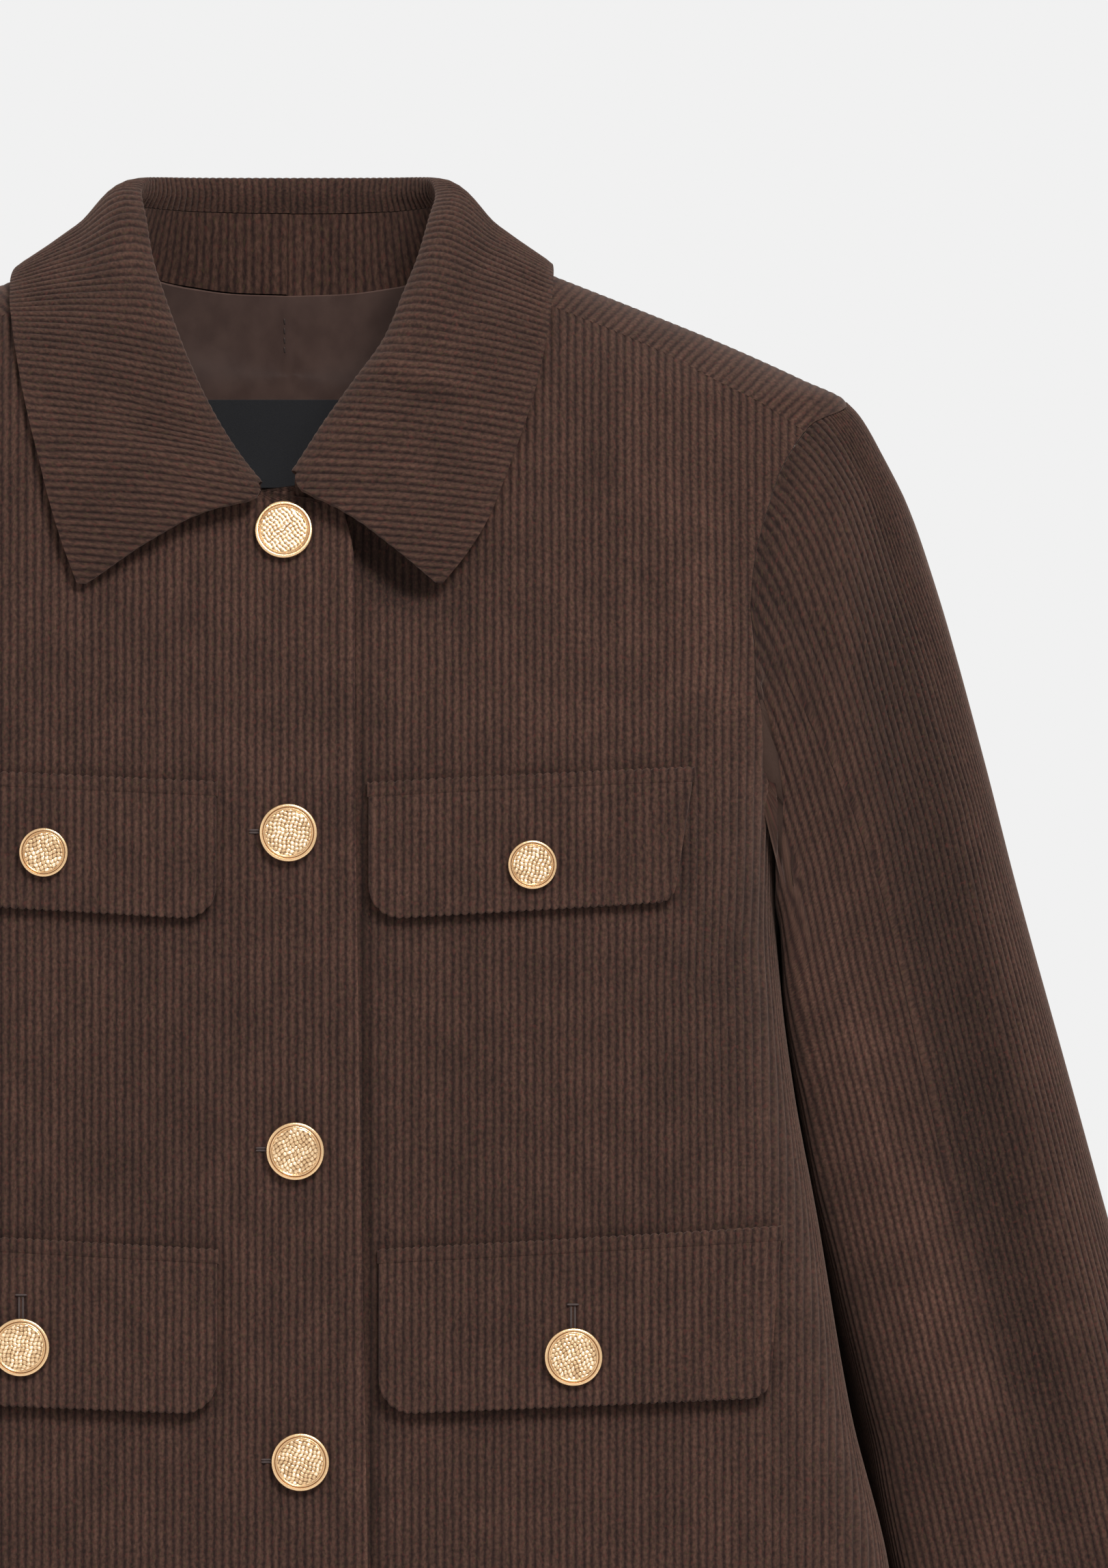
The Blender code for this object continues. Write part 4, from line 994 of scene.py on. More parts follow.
@dataclass
class Panel:
    """A corduroy wall on a surface (c, row) with its ends cut at its seams."""

    cord: Cord
    heights: Array
    left: Array
    right: Array
    surface: Surface
    along: Line
    left_open: Array | None = None
    phase: float = 0.0
    low_pile: Array | None = None

    def add_to(self, mesh: MeshBuilder) -> None:
        """Adds the outer face with its wales, the plain inner face and the rim.

        Args:
            mesh: collects the faces.
        """
        columns = self.cord.columns(float(self.left.min()), float(self.right.max()))
        clear = 0.12 * self.cord.pitch
        outer = CutRows(self.left, self.right, columns, clear)
        inner = CutRows(self.left, self.right, columns[::4], clear)
        base_out = self._skin(mesh, outer, 0)
        base_in = self._skin(mesh, inner, 1)
        for side in (0, 1):
            pick = [rows.base + (rows.size - 1) * side for rows in (outer, inner)]
            a, b = pick[0] + base_out, pick[1] + base_in
            quads = np.column_stack([a[:-1], b[:-1], b[1:], a[1:]])
            if side:
                quads = quads[:, ::-1]
            elif self.left_open is not None:
                quads = quads[self.left_open[:-1] | self.left_open[1:]]
            mesh.add_faces(quads)
        for row, flip in ((0, False), (len(self.heights) - 1, True)):
            top, under = outer.chain(row) + base_out, inner.chain(row) + base_in
            fan = CutRows._bridge(under, top)
            mesh.add_faces(fan[:, ::-1] if flip else fan)

    def _skin(self, mesh: MeshBuilder, rows: CutRows, inside: int) -> int:
        """Adds the outer or the inner face.

        Args:
            mesh: collects the faces.
            rows: the face's points.
            inside: 1 for the inner face, or 0.

        Returns:
            Number of its first point.
        """
        height = self.heights[rows.row]
        points, normals, push = self.surface(rows.places, height)
        if inside:
            points = points - normals * self.cord.wall
        else:
            ends = np.zeros(len(rows.places), bool)
            ends[rows.base] = ends[rows.base + rows.size - 1] = True
            pile = np.where(ends, -0.1 * MM, self.cord.relief(rows.places))
            if self.low_pile is not None:
                pile = pile * self.low_pile[rows.row]
            points = points + normals * pile[:, None]
        uvs = np.column_stack([rows.places, self.along(rows.places, height)]) / self.cord.pitch
        # The relief attribute carries the creases' painted shade and light
        first = mesh.add_points(points, uvs + (self.phase, 0), crease_painted_shade(push))
        quads, fans = rows.faces()
        for faces in (quads, fans):
            mesh.add_faces(first + (faces[:, ::-1] if inside else faces), inside)
        return first


# ---- Fronts and back -----------------------------------------------------------


def lap(x: Array, side: int) -> Array:
    """How far the front of this side (1 the wearer's left) stands out at x."""
    return -side * LAYER / 2 * ease((LAP_FROM - x * side) / LAP_OVER)


def front_drape(x: Array, z: Array, side: int) -> Array:
    """How far a front's creases move it: none by the shoulder, nor by its edge on top."""
    away = ease((-z / MM - 60) / 50)
    if side < 0:
        away = away * ease((-x / MM - 20) / 30)
    return drape(FRONT_CREASES[side], x, z) * away


def row_heights(fine: tuple[float, ...], step: float, end: float) -> Array:
    """Depths of rows: the fine ones, then even steps of about step to the end."""
    count = max(1, round((end - fine[-1]) / step))
    return np.concatenate([fine[:-1], np.linspace(fine[-1], end, count + 1)])


@dataclass
class BodyPanels:
    """The two fronts and the back."""

    cord: Cord
    seams: Seams
    front_chart: WaleChart = field(default_factory=lambda: WaleChart(False))
    back_chart: WaleChart = field(default_factory=lambda: WaleChart(True))
    fade: float = 120 * MM
    row_step: float = 4.6 * MM
    back_row_step: float = 5.4 * MM

    def _front_z(self, c: Array, depth: Array) -> Array:
        """Height of a front's row at this depth."""
        return self.seams.shoulder(np.abs(c)) * np.exp(-depth / self.fade) - depth

    def _back_z(self, c: Array, depth: Array) -> Array:
        """Height of a row of the back at this depth."""
        return Body.ridge(np.abs(c)) * np.exp(-depth / self.fade) - depth

    @staticmethod
    def _depth_of(line: Line, c: Array, z: Array) -> Array:
        """Depth at which a row passes through (c, z), by bisection."""
        low, high = np.full(c.shape, -30 * MM), np.full(c.shape, 640 * MM)
        for _ in range(40):
            middle = (low + high) / 2
            above = line(c, middle) > z
            low, high = np.where(above, middle, low), np.where(above, high, middle)
        return (low + high) / 2

    def _cut(self, line: Line, chart: WaleChart, turn: Array, z: Array, rows: Array) -> Array:
        """Places c at which the rows meet a seam given by directions and heights."""
        c = chart.place(turn, z)
        near = z > WaleChart.EXACT_ABOVE
        c = np.where(near, np.abs(Body.point(turn, z)[..., 0]) * np.sign(c + 1e-12), c)
        depth = self._depth_of(line, c, z)
        order = np.argsort(depth)
        return np.interp(rows, depth[order], c[order])

    def front_surface(self, side: int) -> Surface:
        """Surface of a front, as a function of c and the row's depth.

        Args:
            side: 1 on the wearer's left, -1 on the right.

        Returns:
            A function of c and depth to points, normals and shade.
        """
        def surface(c: Array, depth: Array) -> tuple[Array, Array, Array]:
            """The front's points, normals and shade.

            Args:
                c: distances of the wales (m).
                depth: depths of the rows (m).

            Returns:
                Points, normals and shade.
            """
            z = np.maximum(self._front_z(c, depth), HEM_Z)
            turn = self.front_chart.turn(c, z)
            points, normal = Body.point(turn, z), Body.normal(turn, z)
            # The wearer's right front is built on the left and mirrored
            x = points[:, 0] * side
            push = front_drape(x, z, side)
            out = lap(x, side) + push
            # Painted light on the fold at the side and on the lapping edge, whose pile is also rubbed;
            # painted shade and light along the creases, and painted shadow round the flaps
            shade = drape(FRONT_CREASES[side], x, z) - self._painted_flap_shadow(x * side, z, side)
            shade = shade + drape(ARMHOLE_PAINTED_LIGHT, np.abs(x), z)
            shade = shade + 2.5 * MM * ease((turn - 72) / 6) * ease((-190 * MM - z) / (60 * MM))
            if side < 0:
                edge = smooth(z / MM, FRONT_EDGE, 1) * MM
                shade = shade + 3 * MM * ease((x - edge + 2.5 * MM) / (1.5 * MM))
            return points + normal * out[:, None], normal, shade
        return surface

    @staticmethod
    def _painted_flap_shadow(x: Array, z: Array, side: int) -> Array:
        """Painted shadow on the cloth close round a side's flaps, in the units of a crease's depth.

        Args:
            x: places across (m).
            z: heights (m).
            side: 1 on the wearer's left, -1 on the right.

        Returns:
            Depths in metres.
        """
        dark = np.zeros(np.shape(x))
        for kind in FLAPS:
            x0, x1, top0, top1, height0, height1, *_ = Flap(kind, side).shape()
            top = blend(top0, top1, (x - x0) / (x1 - x0))
            low = top - blend(height0, height1, (x - x0) / (x1 - x0))
            across = np.maximum(np.maximum(x0 - x, x - x1), 0)
            upright = np.maximum(np.maximum(low - z, z - top - 5 * MM), 0)
            dark = dark + np.exp(-((across / MM) ** 2 + (upright / MM) ** 2) / 2.0 ** 2)
        return 2.6 * MM * dark

    def front(self, side: int) -> Panel:
        """One front: side 1 is the wearer's left, under, and -1 the right, on top.

        Args:
            side: 1 on the wearer's left, -1 on the right.

        Returns:
            The panel.
        """
        rows = row_heights((0, 1.5 * MM, 3.5 * MM, 6 * MM), self.row_step, -HEM_Z - 0.2 * MM)
        hole_turn, hole_z, _ = self.seams.front_hole
        below = ARMHOLE[ARMHOLE_SEAM_ROW, 1] * MM
        keep = hole_z <= below + 1e-6
        side_z = np.linspace(UNDERARM_Z, HEM_Z - 3 * MM, 120)[1:]
        turn = np.concatenate([hole_turn[keep], np.full(len(side_z), 89.92)])
        right = self._cut(self._front_z, self.front_chart, turn,
                          np.concatenate([hole_z[keep], side_z]), rows)
        right[0] = 189 * MM
        edge_z = np.linspace(FRONT_TOP_Z, HEM_Z - 3 * MM, 120)
        if side > 0:
            edge_x = np.full_like(edge_z, FRONT_EDGE_UNDER)
        else:
            edge_x = -smooth(edge_z / MM, FRONT_EDGE, 1) * MM
        edge_turn = Body.turn_at(edge_x, edge_z)
        neck_turn = np.linspace(NECK_SEAM_TURN, edge_turn[0], 160)
        neck_z = self.seams.neckline(neck_turn)
        neck_z[-1] = FRONT_TOP_Z
        left = self._cut(self._front_z, self.front_chart,
                         np.concatenate([neck_turn, edge_turn[1:]]),
                         np.concatenate([neck_z, edge_z[1:]]), rows)
        left[0] = 66.3 * MM
        phase = 100 if side > 0 else 200
        return Panel(self.cord, rows, left, right, self.front_surface(side),
                     lambda c, depth: depth, phase=phase)

    # The back's rows start on the shoulder seam, at depth -1, and come up the strip in
    # front of the ridge to depth 0; from there the depth is in metres
    STRIP_LEAN = 0.694

    def _strip_table(self) -> tuple[Array, Array]:
        """The shoulder strip's drop, and c where it starts."""
        x = np.linspace(60, 192, 200) * MM
        drop = Body.ridge(x) - self.seams.shoulder(x)
        drop = np.maximum(drop, 1 * MM)
        return x + self.STRIP_LEAN * drop, drop

    def back_surface(self, c: Array, depth: Array) -> tuple[Array, Array, Array]:
        """Surface of the back and, for negative depths, of its strip in front.

        Args:
            c: distances of the wales (m).
            depth: depths of the rows (m).

        Returns:
            Points, normals and shade.
        """
        across, drop = self._strip_table()
        strip = depth < 0
        fall = np.where(strip, -depth, 0) * np.interp(np.abs(c), across, drop)
        x = np.abs(c) - self.STRIP_LEAN * fall
        strip_z = Body.ridge(x) - fall - 0.002 * MM
        strip_turn = Body.turn_at(x, strip_z)
        z = np.maximum(self._back_z(c, np.maximum(depth, 0)) - 0.002 * MM, HEM_Z)
        back_turn = self.back_chart.turn(np.abs(c), z)
        turn, z = np.where(strip, strip_turn, back_turn), np.where(strip, strip_z, z)
        points, normal = Body.point(turn, z), Body.normal(turn, z)
        away = ease((-z / MM - 60) / 50) * ~strip
        out = drape(BACK_CREASES, points[:, 0], z) * away
        # The creases' push also gives painted shade in troughs and painted light on ridges
        return points + normal * out[:, None], normal, out

    def back_half(self) -> Panel:
        """The wearer's left half of the back; the other is its mirror image.

        Returns:
            The panel.
        """
        strip = np.array([-1.0, -0.86, -0.72, -0.58, -0.44, -0.31, -0.2, -0.11, -0.04])
        fine = np.array([0, 0.02, 0.12, 0.35, 0.8, 1.5, 2.6, 4.2, 6.4, 9.4, 13.0]) * MM
        rows = row_heights(tuple(fine), self.back_row_step, -HEM_Z - 0.2 * MM)
        across, drop = self._strip_table()

        def strip_cut(turn: Array, z: Array) -> Array:
            """c at which the strip's rows meet a seam."""
            x = np.abs(Body.point(turn, z)[..., 0])
            fall = Body.ridge(x) - z
            c = x + self.STRIP_LEAN * fall
            share = -fall / np.interp(c, across, drop)
            order = np.argsort(share)
            return np.interp(strip, share[order], c[order])

        hole_turn, hole_z, _ = self.seams.front_hole
        keep = hole_z >= ARMHOLE[ARMHOLE_SEAM_ROW, 1] * MM - 1e-6
        neck_turn = np.linspace(NECK_SEAM_TURN, 90, 60)
        strip_left = strip_cut(neck_turn, self.seams.neckline(neck_turn))
        strip_right = strip_cut(hole_turn[keep], hole_z[keep])

        back_turn, back_z, _ = self.seams.back_hole
        side_z = np.linspace(UNDERARM_Z, HEM_Z - 3 * MM, 120)[1:]
        turn = np.concatenate([back_turn, np.full(len(side_z), 90.08)])
        right = self._cut(self._back_z, self.back_chart, turn,
                          np.concatenate([back_z, side_z]), rows)
        neck_turn = np.linspace(90, 180, 200)
        neck_z = self.seams.neckline(neck_turn)
        left = self._cut(self._back_z, self.back_chart, neck_turn, neck_z, rows)
        centre_depth = self._depth_of(self._back_z, np.zeros(1), np.array([-7.5 * MM]))[0]
        left = np.where(rows >= centre_depth, 0.0, left)
        open_rows = np.concatenate([np.ones(len(strip), bool), rows < centre_depth])
        heights = np.concatenate([strip, rows])
        # The pile is pressed flat over the shoulder
        pressed = np.concatenate([1 - 0.7 * ease((strip + 1) / 0.8), 0.3 + 0.7 * ease(rows / (25 * MM))])
        return Panel(self.cord, heights, np.concatenate([strip_left, left]),
                     np.concatenate([strip_right, right]), self.back_surface,
                     lambda c, depth: np.where(depth < 0, depth * 25 * MM, depth),
                     left_open=open_rows, low_pile=pressed)


# ---- Sleeves -------------------------------------------------------------------


class SleeveForm:
    """The sleeve's surface, round (an angle from the outer edge by the front) and along.

    Each ring is a superellipse between the outer and the inner edge. Its half towards
    the body has an exponent of its own, higher in front, where the corner is square
    and leans away from the body; behind, the cloth tucks in after the body's side.
    Over the cap the armhole's own shape fades out, and under the arm the cloth first
    rises over its seam and turns down.
    """

    LEAN = math.radians(20)
    CAP_TURN = 0.16
    FRONT_EXPONENT = 9.0
    BACK_LEAN = 8.0

    def __init__(self, seams: Seams) -> None:
        """Measures the armhole, and how far the plain tube misses it.

        Args:
            seams: the body's seams.
        """
        front_turn, front_z, share = seams.front_hole
        back_turn, back_z, _ = seams.back_hole
        turn = np.concatenate([front_turn, back_turn[-2:0:-1]])
        z = np.concatenate([front_z, back_z[-2:0:-1]])
        self.angle = np.pi * np.concatenate([share, 2 - share[-2:0:-1]])
        start, self.out = Body.point(turn, z), Body.normal(turn, z)
        seam = unit(np.roll(start, -3, axis=0) - np.roll(start, 3, axis=0))
        away = unit(np.cross(self.out, seam))
        away *= np.sign(np.einsum("ij,ij->i", away, start.mean(axis=0) - start))[:, None]
        self.away = away
        self.start = start + away * SEAM
        self.gap = self.start - self._ideal(self.angle, np.zeros(1))

    def _around(self, values: Array, angle: Array) -> Array:
        """Values between the armhole's points."""
        angle = np.mod(angle, 2 * np.pi)
        known = np.append(self.angle, 2 * np.pi)
        return np.stack([
            np.interp(angle, known, np.append(values[:, axis], values[0, axis])) for axis in range(3)
        ], axis=-1)

    @staticmethod
    def _ideal(angle: Array, along: Array) -> Array:
        """Point of the plain tube, before it is fitted to the armhole.

        Args:
            angle: angles from the outer edge, by the front.
            along: places from 0 at the armhole to 1 at the cuff.

        Returns:
            Points.
        """
        row = [smooth(along, SLEEVE, column) for column in range(9)]
        cosine, sine = np.cos(angle), np.sin(angle)
        square = ease((along - 0.008) / 0.05) * (1 - 0.6 * ease((along - 0.45) / 0.2))
        inner = np.where(sine > 0, blend(row[7], SleeveForm.FRONT_EXPONENT, square), row[7])
        power = 2 / np.where(cosine < 0, inner, SLEEVE_EXPONENT)
        across = np.sign(cosine) * np.abs(cosine) ** power
        forward = np.sign(sine) * np.abs(sine) ** power
        x = (row[1] + row[3]) / 2 + (row[1] - row[3]) / 2 * across
        x = x + row[8] * np.maximum(forward, 0) * ease(-2 * across)
        tucked = SleeveForm.BACK_LEAN * ease((along - 0.03) / 0.05) * ease((0.6 - along) / 0.2)
        x = x - tucked * np.maximum(-forward, 0) * ease(-2 * across)
        z = (row[2] + row[4]) / 2 + (row[2] - row[4]) / 2 * across
        return np.stack([x, row[5] - row[6] * forward, z], axis=-1) * MM

    def point(self, angle: Array, along: Array) -> Array:
        """Point at this angle and place along, from 0 at the armhole to 1 at the cuff."""
        under = ease((-np.cos(angle) - 0.1) / 0.8)
        fade = np.clip(1 - along / SLEEVE_CAP, 0, 1) ** (1.5 + 14 * under)
        points = self._ideal(angle, along) + self._around(self.gap, angle) * fade[..., None]
        rise, stand = (smooth(along, UNDERARM_TURN, column) * MM for column in (1, 2))
        turned = (self._around(self.start, angle) + self._around(self.away, angle) * rise[..., None]
                  + self._around(self.out, angle) * stand[..., None])
        share = under * (1 - ease((along - 0.03) / 0.04))
        return blend(points, turned, share[..., None])

    def normal(self, angle: Array, along: Array) -> Array:
        """Outward normal, from small steps round and along."""
        small = 0.004
        low = np.maximum(along - small / 2, 0)
        high = np.minimum(along + small / 2, 1)
        around = self.point(angle + small, along) - self.point(angle - small, along)
        down = self.point(angle, high) - self.point(angle, low)
        return unit(np.cross(around, down))

    def pushed(self, angle: Array, along: Array) -> tuple[Array, Array, Array]:
        """Point moved by the sleeve's creases, the normal, and their depth for its painted shade in
        troughs and painted light on ridges.

        Args:
            angle: angles from the outer edge, by the front.
            along: places from 0 at the armhole to 1 at the cuff.

        Returns:
            Points, normals and shade.
        """
        points, normal = self.point(angle, along), self.normal(angle, along)
        front = ease((np.sin(angle) + 0.15) / 0.4)
        x, z = points[..., 0], points[..., 2]
        push = drape(SLEEVE_CREASES, x, z) * front
        push = push + drape(SLEEVE_CREASES, x + 12 * MM, z - 22 * MM) * (1 - front) * 0.8
        # Painted shade and light, stronger than the push and not faded at the seam
        shade = 1.4 * push
        push = push * ease(along / 0.06)
        push = np.where(push > 0, push * (1 - ease((-np.cos(angle) - 0.75) / 0.2)), push)
        return points + normal * push[..., None], normal, shade

    @staticmethod
    def _arc(turn: Array, ratio: Array) -> Array:
        """Arc from the outer edge to direction turn, for half depth 1 and half width ratio.

        Args:
            turn: directions in radians.
            ratio: half widths.

        Returns:
            Lengths.
        """
        ratios, turns = np.linspace(0.3, 1.5, 49), np.linspace(0, np.pi, 181)
        bend = np.linspace(0, np.pi, 721)
        power = 2 / np.where(np.cos(bend) < 0, INNER_EXPONENT, SLEEVE_EXPONENT)
        x = np.sign(np.cos(bend)) * np.abs(np.cos(bend)) ** power
        y = np.abs(np.sin(bend)) ** power
        known = np.arctan2(y, x)
        known[-1] = np.pi
        table = np.stack([
            np.interp(turns, known, lengths(np.column_stack([x * each, y]))) for each in ratios
        ])
        row = (ratio - ratios[0]) / (ratios[1] - ratios[0])
        return bilinear(table, row, turn / (turns[1] - turns[0]))

    def wale(self, angle: Array, along: Array) -> Array:
        """Signed distance of a point round the sleeve from its outer edge, by the front.

        The point is read in the sleeve's own cross direction, so that the wales run
        parallel to the outer edge, and over the slanting cap straight into the seam:
        the distance is the arc of a superellipse between the outer and inner edges.
        Over the section's broad front and back only the place across counts, so that
        the wales stay straight where the cloth sinks towards the seam.

        Args:
            angle: angles from the outer edge, by the front.
            along: places from 0 at the armhole to 1 at the cuff.

        Returns:
            Distances in metres.
        """
        points = self._plain(angle, along)
        down = np.array([math.sin(self.LEAN), 0, -math.cos(self.LEAN)])
        side = np.array([math.cos(self.LEAN), 0, math.sin(self.LEAN)])
        table = SLEEVE[:, 1:5] * MM
        outer = np.stack([table[:, 0], 0 * table[:, 0], table[:, 1]], axis=-1)
        inner = np.stack([table[:, 2], 0 * table[:, 2], table[:, 3]], axis=-1)
        reach, across = points @ down, points @ side
        high = smooth(reach, np.column_stack([outer @ down, outer @ side]), 1)
        low = smooth(reach, np.column_stack([inner @ down, inner @ side]), 1)
        low = low + self.CAP_TURN * np.minimum(reach - inner[0] @ down, 0)
        middle, half = (high + low) / 2, (high - low) / 2
        depth, y = smooth(along, SLEEVE, 6) * MM, smooth(along, SLEEVE, 5) * MM
        side_of = np.where(np.mod(angle, 2 * np.pi) > np.pi, -1, 1)
        forward = np.maximum((y - points[..., 1]) / depth * side_of, 0)
        place = (across - middle) / half
        power = np.where(place < 0, INNER_EXPONENT, SLEEVE_EXPONENT)
        broad = np.maximum(1 - np.abs(place) ** power, 0) ** (1 / power)
        forward = blend(broad, forward, ease((np.abs(place) - 0.78) / 0.17))
        return side_of * self._arc(np.arctan2(forward, place), half / depth) * depth

    def _plain(self, angle: Array, along: Array) -> Array:
        """The point without the turn under the arm."""
        under = ease((-np.cos(angle) - 0.1) / 0.8)
        fade = np.clip(1 - along / SLEEVE_CAP, 0, 1) ** (1.5 + 14 * under)
        return self._ideal(angle, along) + self._around(self.gap, angle) * fade[..., None]


class Sleeve:
    """One sleeve as a panel from the underarm seam round to itself.

    Along the cap's seam the wales turn towards it, and the cloth there is darkened as painted shade.
    """

    GATHER = 4.8 * MM

    def __init__(self, cord: Cord, form: SleeveForm, row_step: float = 5.2 * MM) -> None:
        """Charts the wales round each row.

        Args:
            cord: the corduroy.
            form: its surface.
            row_step: step of the rows (m).
        """
        self.cord, self.form = cord, form
        fine = (0, 0.0025, 0.005, 0.008, 0.012, 0.016, 0.021, 0.027, 0.034, 0.042)
        self.rows = row_heights(fine, row_step / SLEEVE_LENGTH, 1.0)
        # Even steps across and in depth, where a superellipse's angle hardly changes
        share = np.linspace(0, 1, 241) ** 2.5
        quarter = np.concatenate([np.arccos(share), np.arcsin(share)])
        angles = np.unique(np.concatenate([quarter, np.pi - quarter, np.pi + quarter,
                                           2 * np.pi - quarter]))
        ring, along = np.meshgrid(angles[angles < 2 * np.pi - 1e-9], self.rows)
        # From the underarm, by the back, the outer edge and the front, to the underarm
        place = form.wale(ring, along)
        turns = np.where(ring > np.pi, ring - 2 * np.pi, ring)
        place = place - np.sign(turns) * self.GATHER * self.at_cap(turns, along, 0.03)
        self.charts = []
        for row, turn in zip(place, turns):
            order = np.argsort(turn, kind="stable")
            value, turn = row[order], turn[order]
            value[0] = 2 * value[1] - value[2]
            value = np.maximum.accumulate(value) + np.linspace(0, 1e-6, len(value))
            self.charts.append((value, turn))
        self.ends = np.array([(value[0], value[-1]) for value, _ in self.charts])

    @staticmethod
    def at_cap(turn: Array, along: Array, fall: float, end: float = 0.66) -> Array:
        """1 at the cap's seam before and behind, fading along the sleeve and to its ends."""
        size = np.abs(turn) / np.pi
        return ease((size - 0.08) / 0.10) * ease((end - size) / 0.2) * np.exp(-along / fall)

    def _angle(self, c: Array, along: Array) -> Array:
        """Angle at distance c on each row."""
        row = np.searchsorted(self.rows, along - 1e-9)
        angle = np.empty_like(c)
        for index in np.unique(row):
            pick = row == index
            value, turn = self.charts[index]
            angle[pick] = np.interp(c[pick], value, turn)
        return angle

    def surface(self, c: Array, along: Array) -> tuple[Array, Array, Array]:
        """Surface of the sleeve, as a function of c from the outer edge and the place along.

        Args:
            c: distances of the wales (m).
            along: places from 0 at the armhole to 1 at the cuff.

        Returns:
            Points, normals and shade.
        """
        angle = self._angle(c, along)
        points, normal, shade = self.form.pushed(angle, along)
        start = 1 - ease(along / 0.012)
        seam = self.form._around(self.form.out, angle)
        turn = np.where(angle > np.pi, angle - 2 * np.pi, angle)
        # Painted shade in the gathers along the cap's seam
        shade = shade - 4.6 * MM * self.at_cap(turn, along, 0.028, 1.1)
        # Painted light: the cloth is a little paler over the upper arm's inner front
        inner = ease((0.1 - np.cos(angle)) / 0.5) * ease(np.sin(angle) / 0.3)
        shade = shade + 1.3 * MM * inner * ease((along - 0.1) / 0.1) * ease((0.55 - along) / 0.1)
        return points, unit(blend(normal, seam, start[:, None])), shade

    def panel(self) -> Panel:
        """The sleeve's panel, cut at the seam under the arm."""
        gap = 0.05 * MM
        return Panel(self.cord, self.rows, self.ends[:, 0] + gap,
                     self.ends[:, 1] - gap, self.surface,
                     lambda c, along: along * SLEEVE_LENGTH, phase=400)


# ---- Collar --------------------------------------------------------------------


